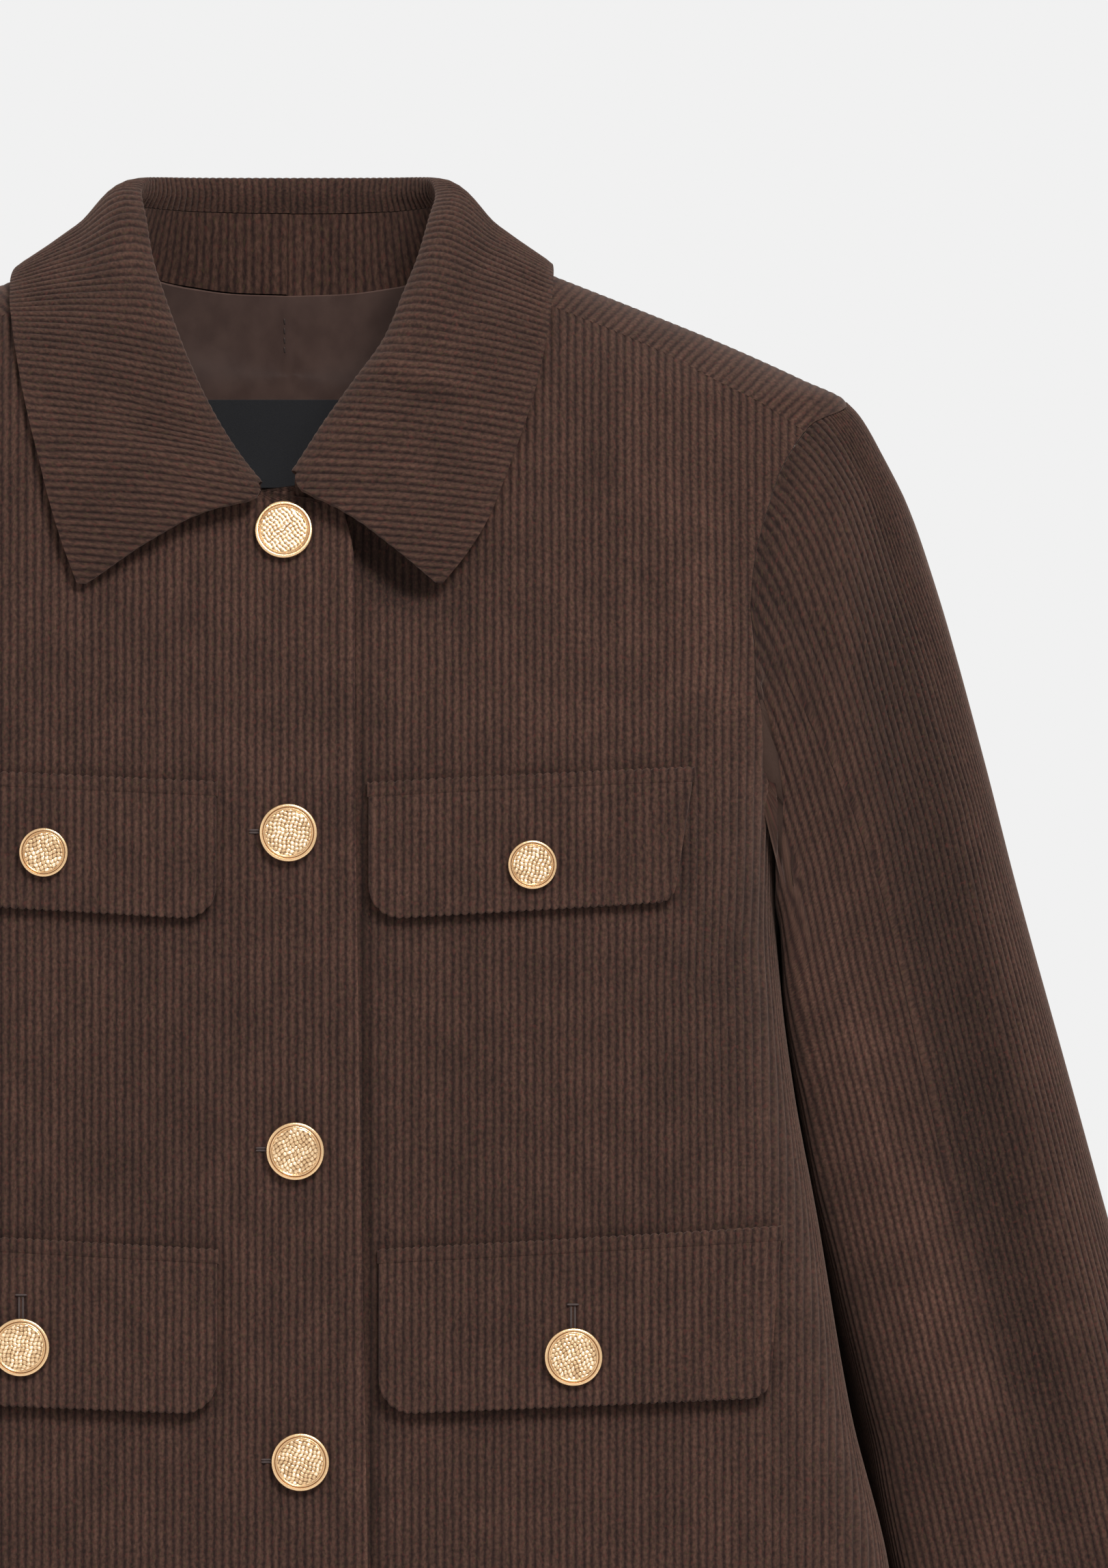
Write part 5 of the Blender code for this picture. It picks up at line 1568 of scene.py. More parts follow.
@dataclass
class Collar:
    """The stand and the leaf that turns down over it."""

    seams: Seams
    pitch: float = 3.3 * MM
    wall: float = 1.8 * MM
    fold_radius: float = 2.6 * MM
    stand_share: float = 0.74
    stand_clear: float = 0.5 * MM
    bulge: float = 3 * MM
    flat: tuple[float, float] = (0.46, 0.16)
    knots: tuple[float, ...] = (0.0, 0.16, 0.205, 0.25, 0.62, 1.0)
    over: float = 0.25
    across_inside: tuple[float, ...] = (0.0, 0.05, 0.1, 0.14, 0.17, 0.19, 0.205, 0.22, 0.235)
    across_outside: int = 17

    def rows(self, places: Array) -> Array:
        """Table values at signed places round the collar, negative on the wearer's right.

        Args:
            places: places round the collar.

        Returns:
            One row of nine values for each place.
        """
        size = np.abs(places)
        values = [
            np.column_stack([smooth(size, table, column) for column in range(9)])
            for table in (COLLAR_RIGHT, COLLAR_LEFT)
        ]
        row = np.where((places < 0)[:, None], values[0], values[1])
        row[:, 1:7] *= MM
        row[:, 7] *= np.where(places < 0, -1, 1)
        row[:, 0] = places
        return row

    def wales(self) -> tuple[Array, Array]:
        """Columns' signed places, four for each wale, and their heights.

        Returns:
            Places and heights.
        """
        fine = np.linspace(-1.23, 1.23, 1601)
        row = self.rows(fine)
        middle = (row[:, 1:4] + row[:, 4:7]) / 2
        length = lengths(middle)
        length = length - np.interp(0, fine, length)
        cord = Cord(pitch=self.pitch)
        columns = cord.columns(length[0], length[-1])
        columns = columns[(columns > length[0] + 0.3 * MM) & (columns < length[-1] - 0.3 * MM)]
        # The front points lie on columns of their own, where the leaf starts to be cut
        corners = np.interp((-1.23, -1.0, 1.0, 1.23), fine, length)
        columns = np.unique(np.concatenate([columns, corners]))
        places = np.interp(columns, length, fine)
        for corner in (-1.23, -1.0, 1.0, 1.23):
            places[np.argmin(np.abs(places - corner))] = corner
        self.lengths = columns
        return places, cord.relief(columns)

    def frames(self, row: Array) -> tuple[Array, ...]:
        """Neckline, fold, edge and directions for each column.

        Args:
            row: table values, one row for each column.

        Returns:
            Neck, normal, fold, edge, leaf's and fold's directions, stand's top and directions.
        """
        fold, edge, turn = row[:, 1:4], row[:, 4:7], row[:, 7]
        z = self.seams.neckline(turn)
        normal = Body.normal(turn, z)
        neck = Body.point(turn, z)
        side = np.where(turn < 0, -1, 1)
        neck = neck + normal * lap(neck[:, 0], side)[:, None]
        along = np.gradient(fold, row[:, 0], axis=0)
        leaf_out = unit(np.cross(along, edge - fold))
        leaf_out *= np.sign(leaf_out[:, 2:3] + 1e-9)
        to_fold = unit(np.cross(along, leaf_out))
        to_fold *= np.sign(np.einsum("ij,ij->i", to_fold, fold - edge))[:, None]
        stand_top = fold - (leaf_out + to_fold) * self.fold_radius + leaf_out * self.wall
        rise = unit(stand_top - neck)
        stand_out = unit(np.cross(along, rise))
        stand_out *= np.sign(np.einsum("ij,ij->i", stand_out, leaf_out))[:, None]
        return neck, normal, fold, edge, leaf_out, to_fold, stand_top, rise, stand_out

    def face(self, row: Array, places: Array) -> Array:
        """The leaf's face at places across it, rows of places by columns.

        Args:
            row: table values, one row for each column.
            places: places across, 0 at the stand and 1 at the edge.

        Returns:
            Grid of points.
        """
        neck, _, fold, edge, leaf_out, to_fold, stand_top, rise, stand_out = self.frames(row)
        seam = blend(neck, stand_top, self.stand_share) - stand_out * self.wall + rise * SEAM
        inside = stand_top - leaf_out * self.wall
        over = fold + (leaf_out - to_fold) * self.fold_radius
        straight = np.exp(-(((np.abs(row[:, 0]) - self.flat[0]) / self.flat[1]) ** 2))
        middle = (over + edge) / 2 + leaf_out * (self.bulge * (1 - 0.95 * straight))[:, None]
        controls = np.stack([seam, inside, fold, over, middle, edge])
        knots = np.array(self.knots)
        rate = np.gradient(controls, knots, axis=0)
        i = np.clip(np.searchsorted(knots, places, side="right") - 1, 0, len(knots) - 2)
        step = knots[i + 1] - knots[i]
        t = ((places - knots[i]) / step)[..., None]
        step = step[..., None]
        column = np.arange(controls.shape[1])
        ends = controls[i, column], controls[i + 1, column]
        return hermite(ends, (rate[i, column], rate[i + 1, column]), step, t)

    @staticmethod
    def _normals(face: Array, reference: Array) -> Array:
        """Normals of the leaf's face, turned outwards."""
        normal = unit(np.cross(np.gradient(face, axis=1), np.gradient(face, axis=0)))
        facing = np.einsum("ij,ij->i", normal[-2], reference)
        return -normal if np.sum(facing) < 0 else normal

    def leaf(self, mesh: MeshBuilder) -> None:
        """Adds the leaf: wales run from the stand over the fold to the outer edge.

        Args:
            mesh: collects the faces.
        """
        places, relief = self.wales()
        row = self.rows(places)
        leaf_out, stand_out = self.frames(row)[4], self.frames(row)[-1]
        outside = np.linspace(self.over, 1, self.across_outside)
        across = np.concatenate([self.across_inside, outside])
        inner = len(self.across_inside)
        main = np.abs(places) <= 1.0
        cut = blend(self.over, 1, row[:, 8])
        spread = (np.concatenate([np.zeros(inner), outside])[:, None] - self.over) / (1 - self.over)
        start = np.where(main, self.over, cut)
        grid = start[None] + (1 - start[None]) * spread
        grid[:inner] = across[:inner, None]
        # Past the fold's end the inside rows close up on the front edge
        grid[:inner, ~main] = start[None, ~main] + across[:inner, None] * 1e-5
        face = self.face(row, grid)
        normal = self._normals(face, leaf_out)
        safe = self._normals(self.face(row, np.maximum(grid, start[None])), leaf_out)
        normal[inner:, ~main] = safe[inner:, ~main]
        normal[:inner, ~main] = safe[inner, ~main][None]
        normal[0, main] = -stand_out[main]
        edge = ease((1 - grid) / 0.03) * (1 - 0.65 * np.exp(-(((grid - 0.21) / 0.05) ** 2)))
        crease = drape(LEAF_CREASES, face[..., 0], face[..., 2]) * (grid > self.over)
        outer = face + normal * (relief[None] * edge + crease)[..., None]
        uvs = np.stack(np.broadcast_arrays(self.lengths[None], grid * 100 * MM), axis=-1) / self.pitch
        low, high = np.flatnonzero(main)[[0, -1]]
        # Painted shade: the leaf is a little darker than the body cloth, against the light on its upward
        # face, with painted shade and light along its creases
        shade = 0.40 + 0.1 * crease / MM
        self._walls(mesh, outer, -normal, uvs, shade, low, high, inner)

    def _walls(self, mesh: MeshBuilder, outer: Array, inward: Array, uvs: Array,
               shade: Array, low: int, high: int, inner: int) -> None:
        """Skins and rim of the leaf: inside rows only between the two front corners.

        Args:
            mesh: collects the faces.
            outer: grid of the face.
            inward: unit vectors into the wall.
            uvs: U and V of each point.
            shade: relief of each point.
            low: column of one front corner.
            high: column of the other.
            inner: number of inside rows.
        """
        rows, columns = outer.shape[:2]
        skins = []
        for offset, slot in ((0.0, 0), (self.wall, 0)):
            number = (mesh.add_points(outer + inward * offset, uvs, shade)
                      + np.arange(rows * columns).reshape(rows, columns))
            quads = np.concatenate([
                quads_of(number[:inner + 1, low:high + 1]), quads_of(number[inner:]),
            ])
            mesh.add_faces(quads if offset == 0 else quads[:, ::-1], slot)
            skins.append(number)
        loops = [
            np.concatenate([
                n[0, low:high + 1], n[1:inner, high], n[inner, high:], n[inner + 1:, -1],
                n[-1, -2::-1], n[-2:inner:-1, 0], n[inner, :low + 1], n[inner - 1:0:-1, low],
            ]) for n in skins
        ]
        a, b = loops
        mesh.add_faces(np.column_stack([a, np.roll(a, -1), np.roll(b, -1), b]))

    def stand(self, mesh: MeshBuilder) -> None:
        """Adds the stand, between the neckline and the leaf.

        Args:
            mesh: collects the faces.
        """
        places = np.linspace(-1, 1, 241)
        row = self.rows(places)
        neck, normal, _, _, _, _, stand_top, rise, stand_out = self.frames(row)
        start = neck + rise * self.stand_clear
        top = blend(neck, stand_top, self.stand_share)
        shares = np.linspace(0, 1, 5)
        outer = np.stack([blend(start, top, share) for share in shares])
        inward = np.stack([unit(-normal - stand_out)] + [-stand_out] * 4)
        length = lengths(neck) / self.pitch
        uvs = np.stack(np.broadcast_arrays(length[None], shares[:, None] * 6), axis=-1)
        # Painted shade: the stand, inside the collar, is darker than the body cloth
        mesh.add_shell(outer, inward, self.wall, uvs, inner_slot=0, relief=0.30)


# ---- What lies on the panels ---------------------------------------------------


class FrontFace:
    """Points on the two fronts' faces, by x and z, for what is sewn on them."""

    @staticmethod
    def on(x: Array, z: Array, out: Array, side: int) -> tuple[Array, Array]:
        """Points moved out from the front's face, and normals."""
        turn = Body.turn_at(x, z)
        points, normal = Body.point(turn, z), Body.normal(turn, z)
        push = lap(x, side) + front_drape(x, z, side)
        return points + normal * (push + out)[..., None], normal


@dataclass(frozen=True)
class Flap:
    """One pocket flap with its welt above it."""

    kind: str
    side: int
    wall: float = 2.4 * MM
    clear: float = 0.6 * MM
    welt_height: float = 5.2 * MM
    welt_wall: float = 2.6 * MM
    edge_round: float = 0.7 * MM
    scallop: float = 0.35 * MM
    cord: Cord = field(default_factory=Cord)

    def shape(self) -> list[float]:
        """The flap's row of sizes in metres, with its ends where this side's lie."""
        *sizes, shift = (value * MM for value in FLAPS[self.kind])
        if self.side < 0:
            sizes[0] -= shift
            sizes[1] -= shift
        return sizes

    def lift(self, x: Array, share: Array) -> Array:
        """How far the flap's face stands out at x and a share of its height."""
        far = ease((x - 100 * MM) / (70 * MM))
        stand_off = STAND_OFF[self.kind]
        near = ease((self.shape()[0] + 14 * MM - x) / (14 * MM))
        stand_off = stand_off * np.maximum(share ** 2, 0.6 * near * ease(share / 0.4))
        return self.clear + 0.8 * MM * far + stand_off + self.wall

    def columns(self, low: float, high: float) -> tuple[Array, Array]:
        """Columns across, with heights of the pile on them."""
        columns = self.cord.columns(low, high)
        ends = np.array([0, 0.15, 0.5]) * MM
        columns = columns[(columns > low + 0.8 * MM) & (columns < high - 0.8 * MM)]
        x = np.concatenate([low + ends, columns, high - ends[::-1]])
        return x, self.cord.relief(x)

    def rounded(self, near: Array) -> Array:
        """How far an edge's roundness sinks the face at this distance from the edge."""
        share = np.clip(1 - near / self.edge_round, 0, 1)
        return self.edge_round * (1 - np.sqrt(np.maximum(1 - share ** 2, 0)))

    def flap(self, mesh: MeshBuilder) -> None:
        """Adds the flap, with rounded lower corners and a bottom edge that the wales notch.

        Args:
            mesh: collects the faces.
        """
        x0, x1, top0, top1, height0, height1, radius, slant = self.shape()
        x, relief = self.columns(x0, x1)
        part = (x - x0) / (x1 - x0)
        top = blend(top0, top1, part)
        radius = np.where(part < 0.5, radius, radius * 0.62)
        near = np.maximum(radius - np.minimum(x - x0, x1 - x), 0)
        bottom = top - blend(height0, height1, part) + radius
        bottom = bottom - np.sqrt(np.maximum(radius ** 2 - near ** 2, 0))
        bottom = bottom - self.scallop * relief / self.cord.heights[2]
        height = top - bottom
        inner = np.array([0.015, 0.05, 0.12, 0.22, 0.34, 0.46, 0.58, 0.70, 0.81, 0.90, 0.95])
        rim = np.array([1.1, 0.7, 0.4, 0.15, 0.0]) * MM
        share = np.vstack([
            np.zeros((1, len(x))), np.broadcast_to(inner[:, None], (len(inner), len(x))),
            1 - rim[:, None] / height,
        ])
        z = top - height * share
        wide = x - slant * share * part ** 5
        from_edge = np.minimum(np.minimum(x - x0, x1 - x), height * (1 - share))
        out = self.lift(wide, share) + relief - self.rounded(from_edge)
        out = out - 0.35 * MM * (1 - ease(share / 0.015))
        self._add(mesh, wide, z, out, self.wall - self.rounded(from_edge) * 1.5)

    def welt(self, mesh: MeshBuilder) -> None:
        """Adds the welt, a narrow band over the pocket's mouth, rounded at its top.

        Args:
            mesh: collects the faces.
        """
        x0, x1, top0, top1 = self.shape()[:4]
        x, relief = self.columns(x0 - 0.5 * MM, x1 + 1 * MM)
        low = blend(top0, top1, (x - x0) / (x1 - x0)) + 0.04 * MM
        share = np.array([1.0, 0.975, 0.93, 0.86, 0.6, 0.35, 0.15, 0.05, 0.0])[:, None]
        z = low + self.welt_height * share + self.scallop * relief / self.cord.heights[2] * share
        wide = np.broadcast_to(x, z.shape)
        from_edge = np.minimum((1 - share) * self.welt_height, np.minimum(x - x[0], x[-1] - x))
        out = self.clear + 0.8 * MM * ease((wide - 100 * MM) / (70 * MM)) + self.welt_wall
        out = out + relief - self.rounded(from_edge) - 0.45 * MM * (1 - ease(share / 0.15))
        self._add(mesh, wide, z, out, self.welt_wall - self.rounded(from_edge) * 1.5)

    def _add(self, mesh: MeshBuilder, x: Array, z: Array, out: Array, wall: Array) -> None:
        """Adds a wall on the front's face."""
        points, normal = FrontFace.on(self.side * x, z, out, self.side)
        uvs = np.stack([self.side * x, z], axis=-1) / self.cord.pitch
        mesh.add_shell(points, -normal, wall[..., None], uvs, inner_slot=0, relief=0.51)


@dataclass(frozen=True)
class Button:
    """A turned and pressed metal button: shank, back, rim, groove and a woven face."""

    centre: Array
    normal: Array
    radius: float
    turn: float = 0.0
    sides: int = 120
    rings: tuple[tuple[float, float], ...] = (
        (0.30, 0.60), (0.30, 1.60), (0.90, 1.60), (0.97, 1.85), (1.00, 2.30), (1.00, 2.90),
        (0.985, 3.20), (0.965, 3.40), (0.93, 3.50), (0.895, 3.44), (0.88, 3.20), (0.872, 2.95),
        (0.86, 2.95), (0.85, 3.20), (0.835, 3.28), (0.82, 3.20), (0.812, 3.05),
    )
    face_share: float = 0.80
    face_height: float = 3.0
    face_rings: int = 30
    cell: float = 1.5

    def _relief(self, x: Array, y: Array) -> Array:
        """Height of the weave, 0 to 1, at places on the face in shares of the radius.

        The face is a board of cells, warped a little. Each holds a pillow, long across
        or long upright by turns, with a height of its own; its height is a power of the
        cosine across it times a flat-topped fall along it.

        Args:
            x: places across (m).
            y: places up.

        Returns:
            Heights.
        """
        scale = self.radius / MM / self.cell
        c, s = math.cos(self.turn), math.sin(self.turn)
        u, v = (x * c + y * s) * scale, (y * c - x * s) * scale
        u, v = (u + 0.16 * np.sin(1.9 * v + self.turn * 9), v + 0.16 * np.sin(1.7 * u + 2))
        i, j = np.floor(u), np.floor(v)
        across, upright = np.abs(u - i - 0.5) * 2, np.abs(v - j - 0.5) * 2
        lying = np.mod(i + j, 2) == 0
        thin, long = np.where(lying, upright, across), np.where(lying, across, upright)
        own = np.mod(np.sin(i * 12.99 + j * 78.23 + self.turn) * 437.58, 1)
        pillow = np.cos(thin * np.pi / 2) ** 0.8 * (1 - 0.75 * long ** 3)
        return pillow * (0.55 + 0.45 * own)

    def add_to(self, mesh: MeshBuilder) -> None:
        """Adds the button.

        Args:
            mesh: collects the faces.
        """
        normal = unit(self.normal)
        across = unit(np.cross((0, 0, 1.0), normal))
        up = np.cross(normal, across)
        share = np.array([ring[0] for ring in self.rings])
        height = np.array([ring[1] for ring in self.rings])
        face = np.linspace(self.face_share, 0.0, self.face_rings)[:-1]
        share = np.concatenate([share, face])
        angle = np.linspace(0, 2 * np.pi, self.sides, endpoint=False)
        x, y = share[:, None] * np.cos(angle), share[:, None] * np.sin(angle)
        level = np.concatenate([height, np.full(len(face), self.face_height)])[:, None]
        woven = (share < self.face_share - 0.005)[:, None]
        weave = np.where(woven, self._relief(x, y), 0)
        level = level + np.where(woven, 0.34 * weave + 0.15 * (1 - share[:, None] ** 2), 0)
        groove = np.array([0.86, 0.872, 0.812])
        dark = np.min(np.abs(share[:, None] - groove), axis=1)[:, None] < 0.003
        # Painted shade in the rim's grooves: a low relief there darkens the gold
        relief = np.where(woven, weave, np.where(dark, 0.2, 0.5))
        points = (self.centre + normal * (level * MM)[..., None]
                  + self.radius * (across * x[..., None] + up * y[..., None]))
        uvs = np.stack([x, y], axis=-1)
        number = mesh.add_grid(points, uvs, ring=True, relief=relief)
        for row, flip in ((0, True), (-1, False)):
            middle = points[row].mean(axis=0)
            pole = mesh.add_points(middle[None], np.zeros((1, 2)))
            rim, after = number[row], np.roll(number[row], -1)
            fan = np.column_stack([np.full(self.sides, pole), after, rim])
            mesh.add_faces(fan if flip else fan[:, ::-1])


@dataclass(frozen=True)
class Stitch:
    """A bar of thread on a face, from one place (x, z) to another, in mm."""

    start: tuple[float, float]
    end: tuple[float, float]
    radius: float = 0.35

    def add_to(self, mesh: MeshBuilder, face: Callable[[Array, Array, Array], Array]) -> None:
        """Adds the bar, laid on points that face(x, z, out) gives in metres.

        Args:
            mesh: collects the faces.
            face: gives points on the face, from x, z and out.
        """
        along = (1 - np.cos(np.linspace(0, np.pi, 12)))[:, None] / 2
        turn = np.linspace(0, 2 * np.pi, 10)[None, :-1]
        size = self.radius * np.maximum(1 - (2 * along - 1) ** 6, 0.02) ** 0.5
        way = unit(np.subtract(self.end, self.start))
        side = size * np.cos(turn)
        x = blend(self.start[0], self.end[0], along) - side * way[1]
        z = blend(self.start[1], self.end[1], along) + side * way[0]
        points = face(x * MM, z * MM, (size * np.sin(turn) + 0.2 * self.radius) * MM)
        number = mesh.add_grid(points, np.stack([x, z], axis=-1), ring=True)
        mesh.add_faces(number[:1, ::-1])
        mesh.add_faces(number[-1:])


class Lining:
    """The satin inside the back neck, and the label sewn on it."""

    TURNS = (118.0, 138.0)
    GAP = 2.8 * MM
    BOTTOM_Z = -122 * MM
    WALL = 1.0 * MM
    LABEL_X = (-39 * MM, 36 * MM)
    LABEL_Z = (-76.5 * MM, -44 * MM)

    def __init__(self, seams: Seams) -> None:
        """Keeps the body's seams."""
        self.seams = seams

    def satin(self, mesh: MeshBuilder) -> None:
        """Adds the lining, with an ease pleat down its middle.

        Args:
            mesh: collects the faces.
        """
        down = np.linspace(0, 1, 36)[:, None]
        share = np.linspace(-1, 1, 121)[None]
        edge = 180 - blend(*self.TURNS, down)
        off = share * edge
        turn = 180 - np.abs(off)
        top = self.seams.neckline(turn) + 1.2 * MM
        z = blend(top, self.BOTTOM_Z, down)
        turn, z = np.broadcast_arrays(turn, z)
        side = np.where(off < 0, -1, 1)
        signed = turn * side
        points, normal = Body.point(signed, z), Body.normal(signed, z)
        x = points[..., 0] / MM
        pleat = -0.6 * np.exp(-(((x + 1.5) / 1.0) ** 2)) + 0.5 * np.exp(-(((x - 1.0) / 1.6) ** 2))
        pleat = pleat * ease((0.55 - down) / 0.5) * ease(down / 0.12)
        soft = 0.35 * wander(x / 9, 1.0) * ease(down / 0.2)
        outer = points - normal * (self.GAP - (pleat + soft) * 0.5 * MM)[..., None]
        uvs = np.stack([points[..., 0], z], axis=-1) / (3 * MM)
        mesh.add_shell(outer, -normal, self.WALL, uvs, inner_slot=0)

    def face(self, x: Array, z: Array, out: Array) -> Array:
        """Points moved out from the satin's face."""
        turn = Body.turn_at(x, z, back=True)
        points, normal = Body.point(turn, z), Body.normal(turn, z)
        return points - normal * (self.GAP + self.WALL + out)[..., None]

    def label(self, mesh: MeshBuilder) -> None:
        """Adds the bare label."""
        x = np.linspace(*self.LABEL_X, 40)[None]
        z = np.linspace(self.LABEL_Z[1], self.LABEL_Z[0], 14)[:, None]
        x, z = np.broadcast_arrays(x, z)
        normal = Body.normal(Body.turn_at(x, z, back=True), z)
        uvs = np.stack([x, z], axis=-1) / (3 * MM)
        out = np.full(x.shape, 0.5 * MM)
        mesh.add_shell(self.face(x, z, out), -normal, 0.5 * MM, uvs, inner_slot=0)


# ---- The whole jacket ----------------------------------------------------------


class Jacket:
    """Builds every piece, in place of the CAD's node of the same name."""

    FLATS = {
        "front_left": (0.27, 0.61, 0.13),
        "front_right": (0.28, 0.61, 0.135),
        "back": (0.56, 0.68, 0.30),
        "sleeve_left": (0.40, 0.62, 0.205),
        "sleeve_right": (0.40, 0.62, 0.205),
        "collar_stand": (0.36, 0.02, 0.0055),
        "collar_leaf": (0.46, 0.11, 0.035),
        "neck_lining": (0.19, 0.13, 0.020),
        "neck_label": (0.075, 0.0325, 0.0024),
        "flap_chest": (0.118, 0.045, 0.0052),
        "flap_hip": (0.145, 0.055, 0.0078),
        "welt_chest": (0.119, 0.0105, 0.00085),
        "welt_hip": (0.146, 0.0105, 0.00105),
    }

    def __init__(self) -> None:
        """Makes the finishes and the seams."""
        self.finishes = Finishes()
        self.materials = {
            Finish.CORDUROY: [self.finishes.cord, self.finishes.cord_inside],
            Finish.SATIN: [self.finishes.satin],
            Finish.RIBBON: [self.finishes.ribbon],
            Finish.GOLD: [self.finishes.gold],
        }
        self.seams = Seams()
        self.cord = Cord()

    def _place(self, mesh: MeshBuilder, node: str, finish: Finish, mirror: bool = False,
               sharp: float = 60.0) -> bpy.types.Object:
        """Makes a piece's object, named after the CAD node that it replaces, hides that node and hangs
        the object on the root body.

        Args:
            mesh: collects the faces.
            node: the CAD node that it replaces.
            finish: its finish.
            mirror: whether it is turned to the other side.
            sharp: angle in degrees over which edges are sharp.

        Returns:
            The object.
        """
        made = mesh.build(f"vis_{node}", self.materials[finish], mirror, sharp)
        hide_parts(node)
        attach(made, "root")
        return made

    def build(self) -> None:
        """Builds all pieces."""
        self._body()
        self._sleeves()
        self._collar()
        self._inside()
        self._flaps()
        self._buttons()
        self._holes()

    def _add(self, node: str, finish: Finish, add_to: Callable[[MeshBuilder], None],
             mirror: bool = False) -> bpy.types.Object:
        """One piece from the method that adds its faces."""
        mesh = MeshBuilder()
        add_to(mesh)
        return self._place(mesh, node, finish, mirror)

    def _body(self) -> None:
        """Fronts and back; the back is one half, its mirror image and a join between them."""
        panels = BodyPanels(self.cord, self.seams)
        for side, word in WORDS.items():
            self._add(f"front_{word}", Finish.CORDUROY, panels.front(side).add_to, side < 0)
        self._weld_middle(self._add("back", Finish.CORDUROY, partial(self._both, panels.back_half())))

    @staticmethod
    def _both(half: Panel, mesh: MeshBuilder) -> None:
        """Adds a panel and its mirror image."""
        half.add_to(mesh)
        count, faces = mesh.count, len(mesh.faces)
        mesh.add_points(np.concatenate(mesh.points) * (-1, 1, 1), np.concatenate(mesh.uvs) * (-1, 1),
                        np.concatenate(mesh.relief))
        for index in range(faces):
            mesh.faces.append(mesh.faces[index][:, ::-1] + count)
            mesh.slots.append(mesh.slots[index])

    @staticmethod
    def _weld_middle(made: bpy.types.Object) -> None:
        """Joins the back's two halves along the middle, where they share their points."""
        shape = bmesh.new()
        shape.from_mesh(made.data)
        middle = [vert for vert in shape.verts if abs(vert.co.x) < 0.02 * MM]
        bmesh.ops.remove_doubles(shape, verts=middle, dist=0.05 * MM)
        shape.to_mesh(made.data)
        shape.free()

    def _sleeves(self) -> None:
        """Both sleeves, the right one as a mirror image."""
        sleeve = Sleeve(self.cord, SleeveForm(self.seams)).panel()
        for side, word in WORDS.items():
            self._add(f"sleeve_{word}", Finish.CORDUROY, sleeve.add_to, side < 0)

    def _collar(self) -> None:
        """The stand and the leaf."""
        collar = Collar(self.seams)
        self._add("collar_stand", Finish.CORDUROY, collar.stand)
        self._add("collar_leaf", Finish.CORDUROY, collar.leaf)

    def _inside(self) -> None:
        """The lining with its pleat's stitches, and the label."""
        lining = Lining(self.seams)
        self._add("neck_lining", Finish.SATIN, lining.satin)
        self._add("neck_label", Finish.RIBBON, lining.label)
        mesh = MeshBuilder()
        for low in (-27.0, -23.5, -20.0, -16.5):
            Stitch((-2.0, low), (-2.2, low + 2.3)).add_to(mesh, lining.face)
        self._sew(mesh, "pleat_stitches")

    def _flaps(self) -> None:
        """The four flaps with their welts."""
        for kind in FLAPS:
            for side, word in WORDS.items():
                flap = Flap(kind, side)
                self._add(f"flap_{kind}_{word}", Finish.CORDUROY, flap.flap)
                self._add(f"welt_{kind}_{word}", Finish.CORDUROY, flap.welt)

    def _buttons(self) -> None:
        """The nine buttons, each turned its own way."""
        for number, (x, z) in enumerate(FRONT_BUTTONS, start=1):
            self._button(f"button_front_{number}", x, z, -1, 0.0, FRONT_BUTTON_R, number * 0.7)
        for kind, (left, right, radius) in FLAP_BUTTONS.items():
            for (side, word), (x, z) in zip(WORDS.items(), (left, right)):
                out = self._out_of(Flap(kind, side), x, z)
                self._button(f"button_{kind}_{word}", x, z, side, out, radius, x * 0.05)

    def _sew(self, mesh: MeshBuilder, name: str) -> None:
        """Makes an object of the thread collected."""
        made = mesh.build(f"vis_{name}", [self.finishes.thread])
        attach(made, "root")

    def _holes(self) -> None:
        """The buttonholes' ends that show beside the buttons."""
        def on(side: int, clear: float) -> Callable[[Array, Array, Array], Array]:
            """The front's face, moved out a little more."""
            return lambda a, b, out: FrontFace.on(a, b, out + clear, side)[0]

        mesh = MeshBuilder()
        for x, z in FRONT_BUTTONS[1:]:
            for up in (-0.45, 0.45):
                bar = Stitch((x - 14.4, z + up + 0.6), (x - 9.5, z + up + 0.6), 0.4)
                bar.add_to(mesh, on(-1, 0.3 * MM))
        self._sew(mesh, "front_buttonholes")
        mesh = MeshBuilder()
        left, right, radius = FLAP_BUTTONS["hip"]
        for side, (x, z) in ((1, left), (-1, right)):
            rim = z + radius / MM
            out = self._out_of(Flap("hip", side), x, rim)
            # Two legs and the bar across their end, from the button's top
            for x0, z0, x1, z1 in ((-0.7, -1, -0.7, 8), (0.7, -1, 0.7, 8), (-2.2, 8.6, 2.2, 8.6)):
                bar = Stitch((x + x0, rim + z0), (x + x1, rim + z1), 0.4)
                bar.add_to(mesh, on(side, out + 0.2 * MM))
        self._sew(mesh, "flap_buttonholes")

    @staticmethod
    def _out_of(flap: Flap, x: float, z: float) -> float:
        """How far a flap's face stands out from the panel at (x, z) in mm."""
        _, _, top0, top1, height0, height1, _, _ = flap.shape()
        share = (top0 + top1 - 2 * z * MM) / (height0 + height1)
        return float(flap.lift(np.array(abs(x) * MM), np.array(share)))

    def _button(self, node: str, x: float, z: float, side: int, out: float, radius: float,
                turn: float) -> None:
        """One button at (x, z) in mm on a front's face, or this far out from it."""
        where = np.array([x * MM]), np.array([z * MM])
        points, normal = FrontFace.on(*where, np.array([out]), side)
        mesh = MeshBuilder()
        Button(points[0], normal[0], radius, turn).add_to(mesh)
        self._place(mesh, node, Finish.GOLD, sharp=35.0)


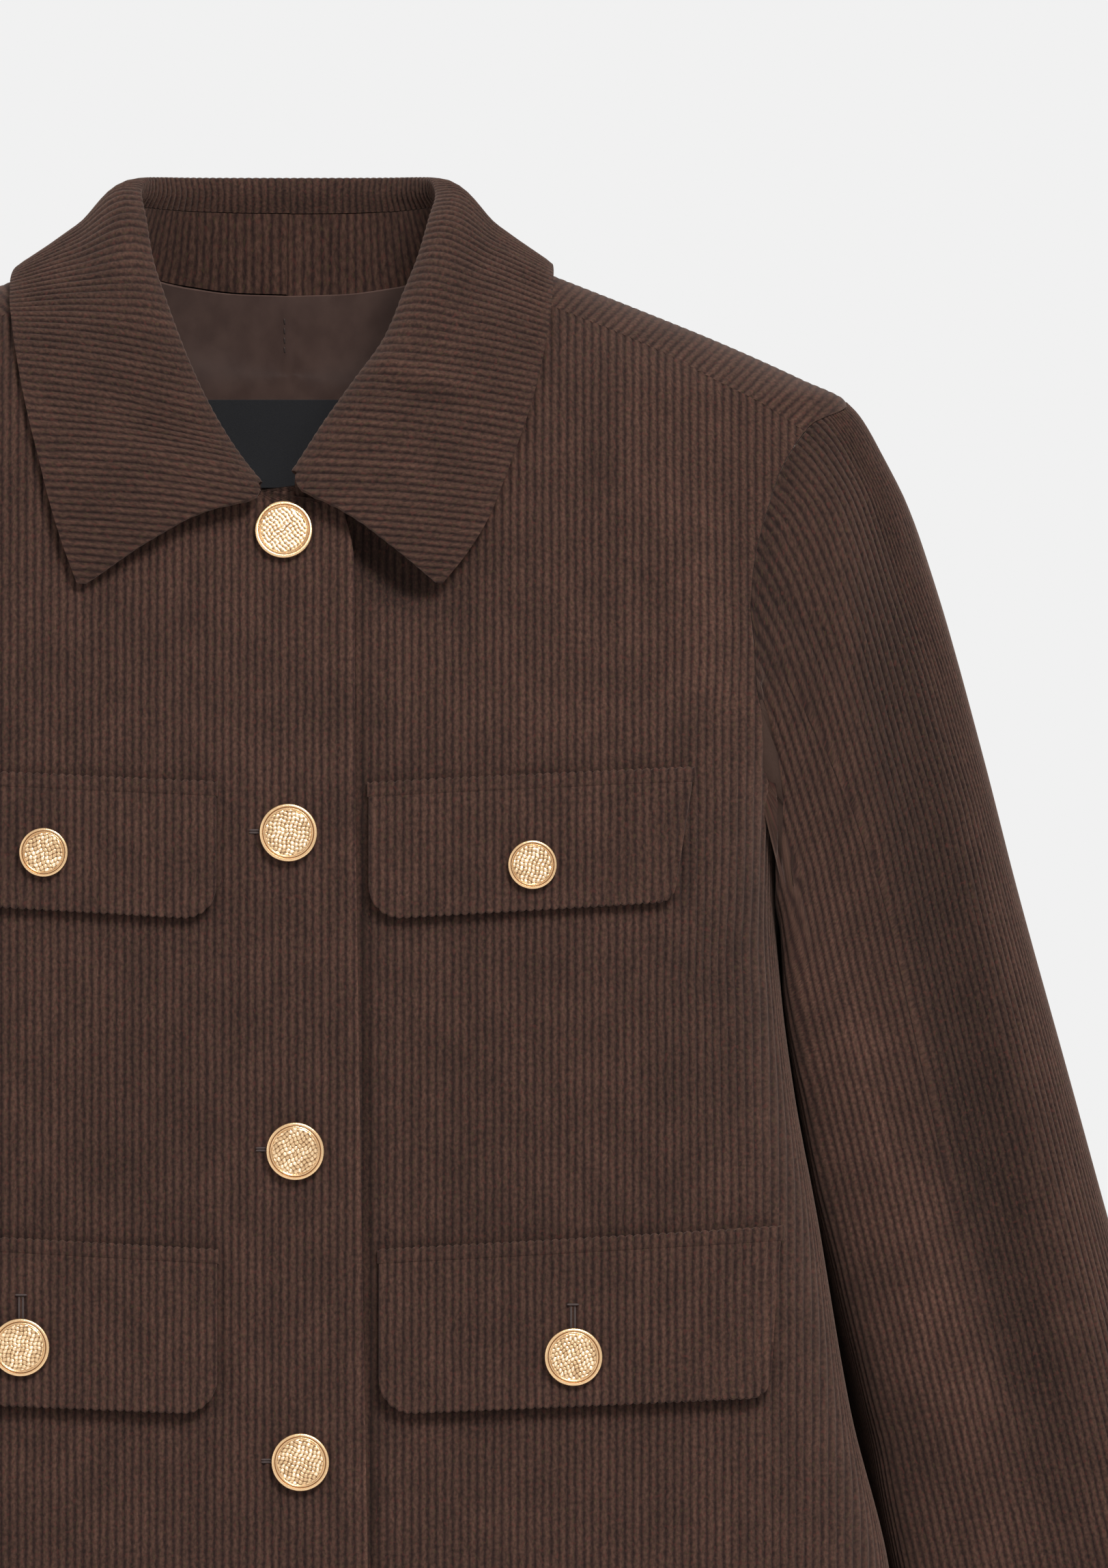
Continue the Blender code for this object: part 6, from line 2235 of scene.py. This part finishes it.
@dataclass(frozen=True)
class Studio:
    """Plain pale surroundings, soft light and the camera."""

    aim: tuple[float, float, float] = (0.0971, -0.055, -0.187)
    distance: float = 20.0
    view_height: float = 0.574
    world: float = 0.879

    def build(self, finishes: Finishes) -> None:
        """Makes the world, floor, lights and camera."""
        self._world()
        self._floor(finishes)
        self._light("key", (0.75, -2.3, 1.6), 0.8, 102.0)
        self._light("fill", (-2.0, -2.0, 0.2), 1.6, 8.0)
        self._camera()

    def _world(self) -> None:
        """An even pale surround."""
        world = bpy.data.worlds.new("studio")
        world.use_nodes = True
        back = world.node_tree.nodes["Background"]
        back.inputs["Color"].default_value = (self.world, self.world, self.world, 1)
        back.inputs["Strength"].default_value = 1.0
        bpy.context.scene.world = world
        bpy.context.scene.view_settings.view_transform = "Standard"

    @staticmethod
    def _floor(finishes: Finishes) -> None:
        """A round of matt white under the hem."""
        mesh = bpy.data.meshes.new("floor")
        angle = np.linspace(0, 2 * np.pi, 64, endpoint=False)
        ring = np.column_stack([np.cos(angle), np.sin(angle), np.zeros(64)]) * 1.2
        mesh.from_pydata((ring + (0, 0, -0.645)).tolist(), [], [list(range(64))])
        mesh.materials.append(finishes.floor)
        floor = bpy.data.objects.new("floor", mesh)
        bpy.context.scene.collection.objects.link(floor)

    def _light(self, name: str, place: tuple[float, float, float], size: float,
               power: float) -> None:
        """One square lamp, turned to the jacket."""
        light = bpy.data.lights.new(name, "AREA")
        light.size = size
        light.energy = power
        made = bpy.data.objects.new(name, light)
        made.location = place
        aim = np.array(self.aim) - np.array(place)
        made.rotation_euler = self._facing(aim)
        bpy.context.scene.collection.objects.link(made)

    @staticmethod
    def _facing(way: Array) -> tuple[float, float, float]:
        """Euler angles of an object whose -Z axis points this way, with +Y up."""
        flat = math.hypot(way[0], way[1])
        return (math.atan2(flat, -way[2]), 0.0, math.atan2(-way[0], way[1]))

    def _camera(self) -> None:
        """A long lens, level, before the front."""
        camera = bpy.data.cameras.new("camera")
        camera.sensor_fit = "VERTICAL"
        camera.angle = 2 * math.atan(self.view_height / 2 / self.distance)
        camera.clip_end = 50
        made = bpy.data.objects.new("camera", camera)
        made.location = (self.aim[0], self.aim[1] - self.distance, self.aim[2])
        made.rotation_euler = (math.pi / 2, 0, 0)
        bpy.context.scene.collection.objects.link(made)
        bpy.context.scene.camera = made


def main() -> None:
    """Builds the jacket on its frame, in its studio."""
    logging.basicConfig(level=logging.INFO, format="%(name)s: %(message)s")
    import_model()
    jacket = Jacket()
    jacket.build()
    Studio().build(jacket.finishes)
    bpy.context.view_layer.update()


if __name__ == "__main__":
    main()
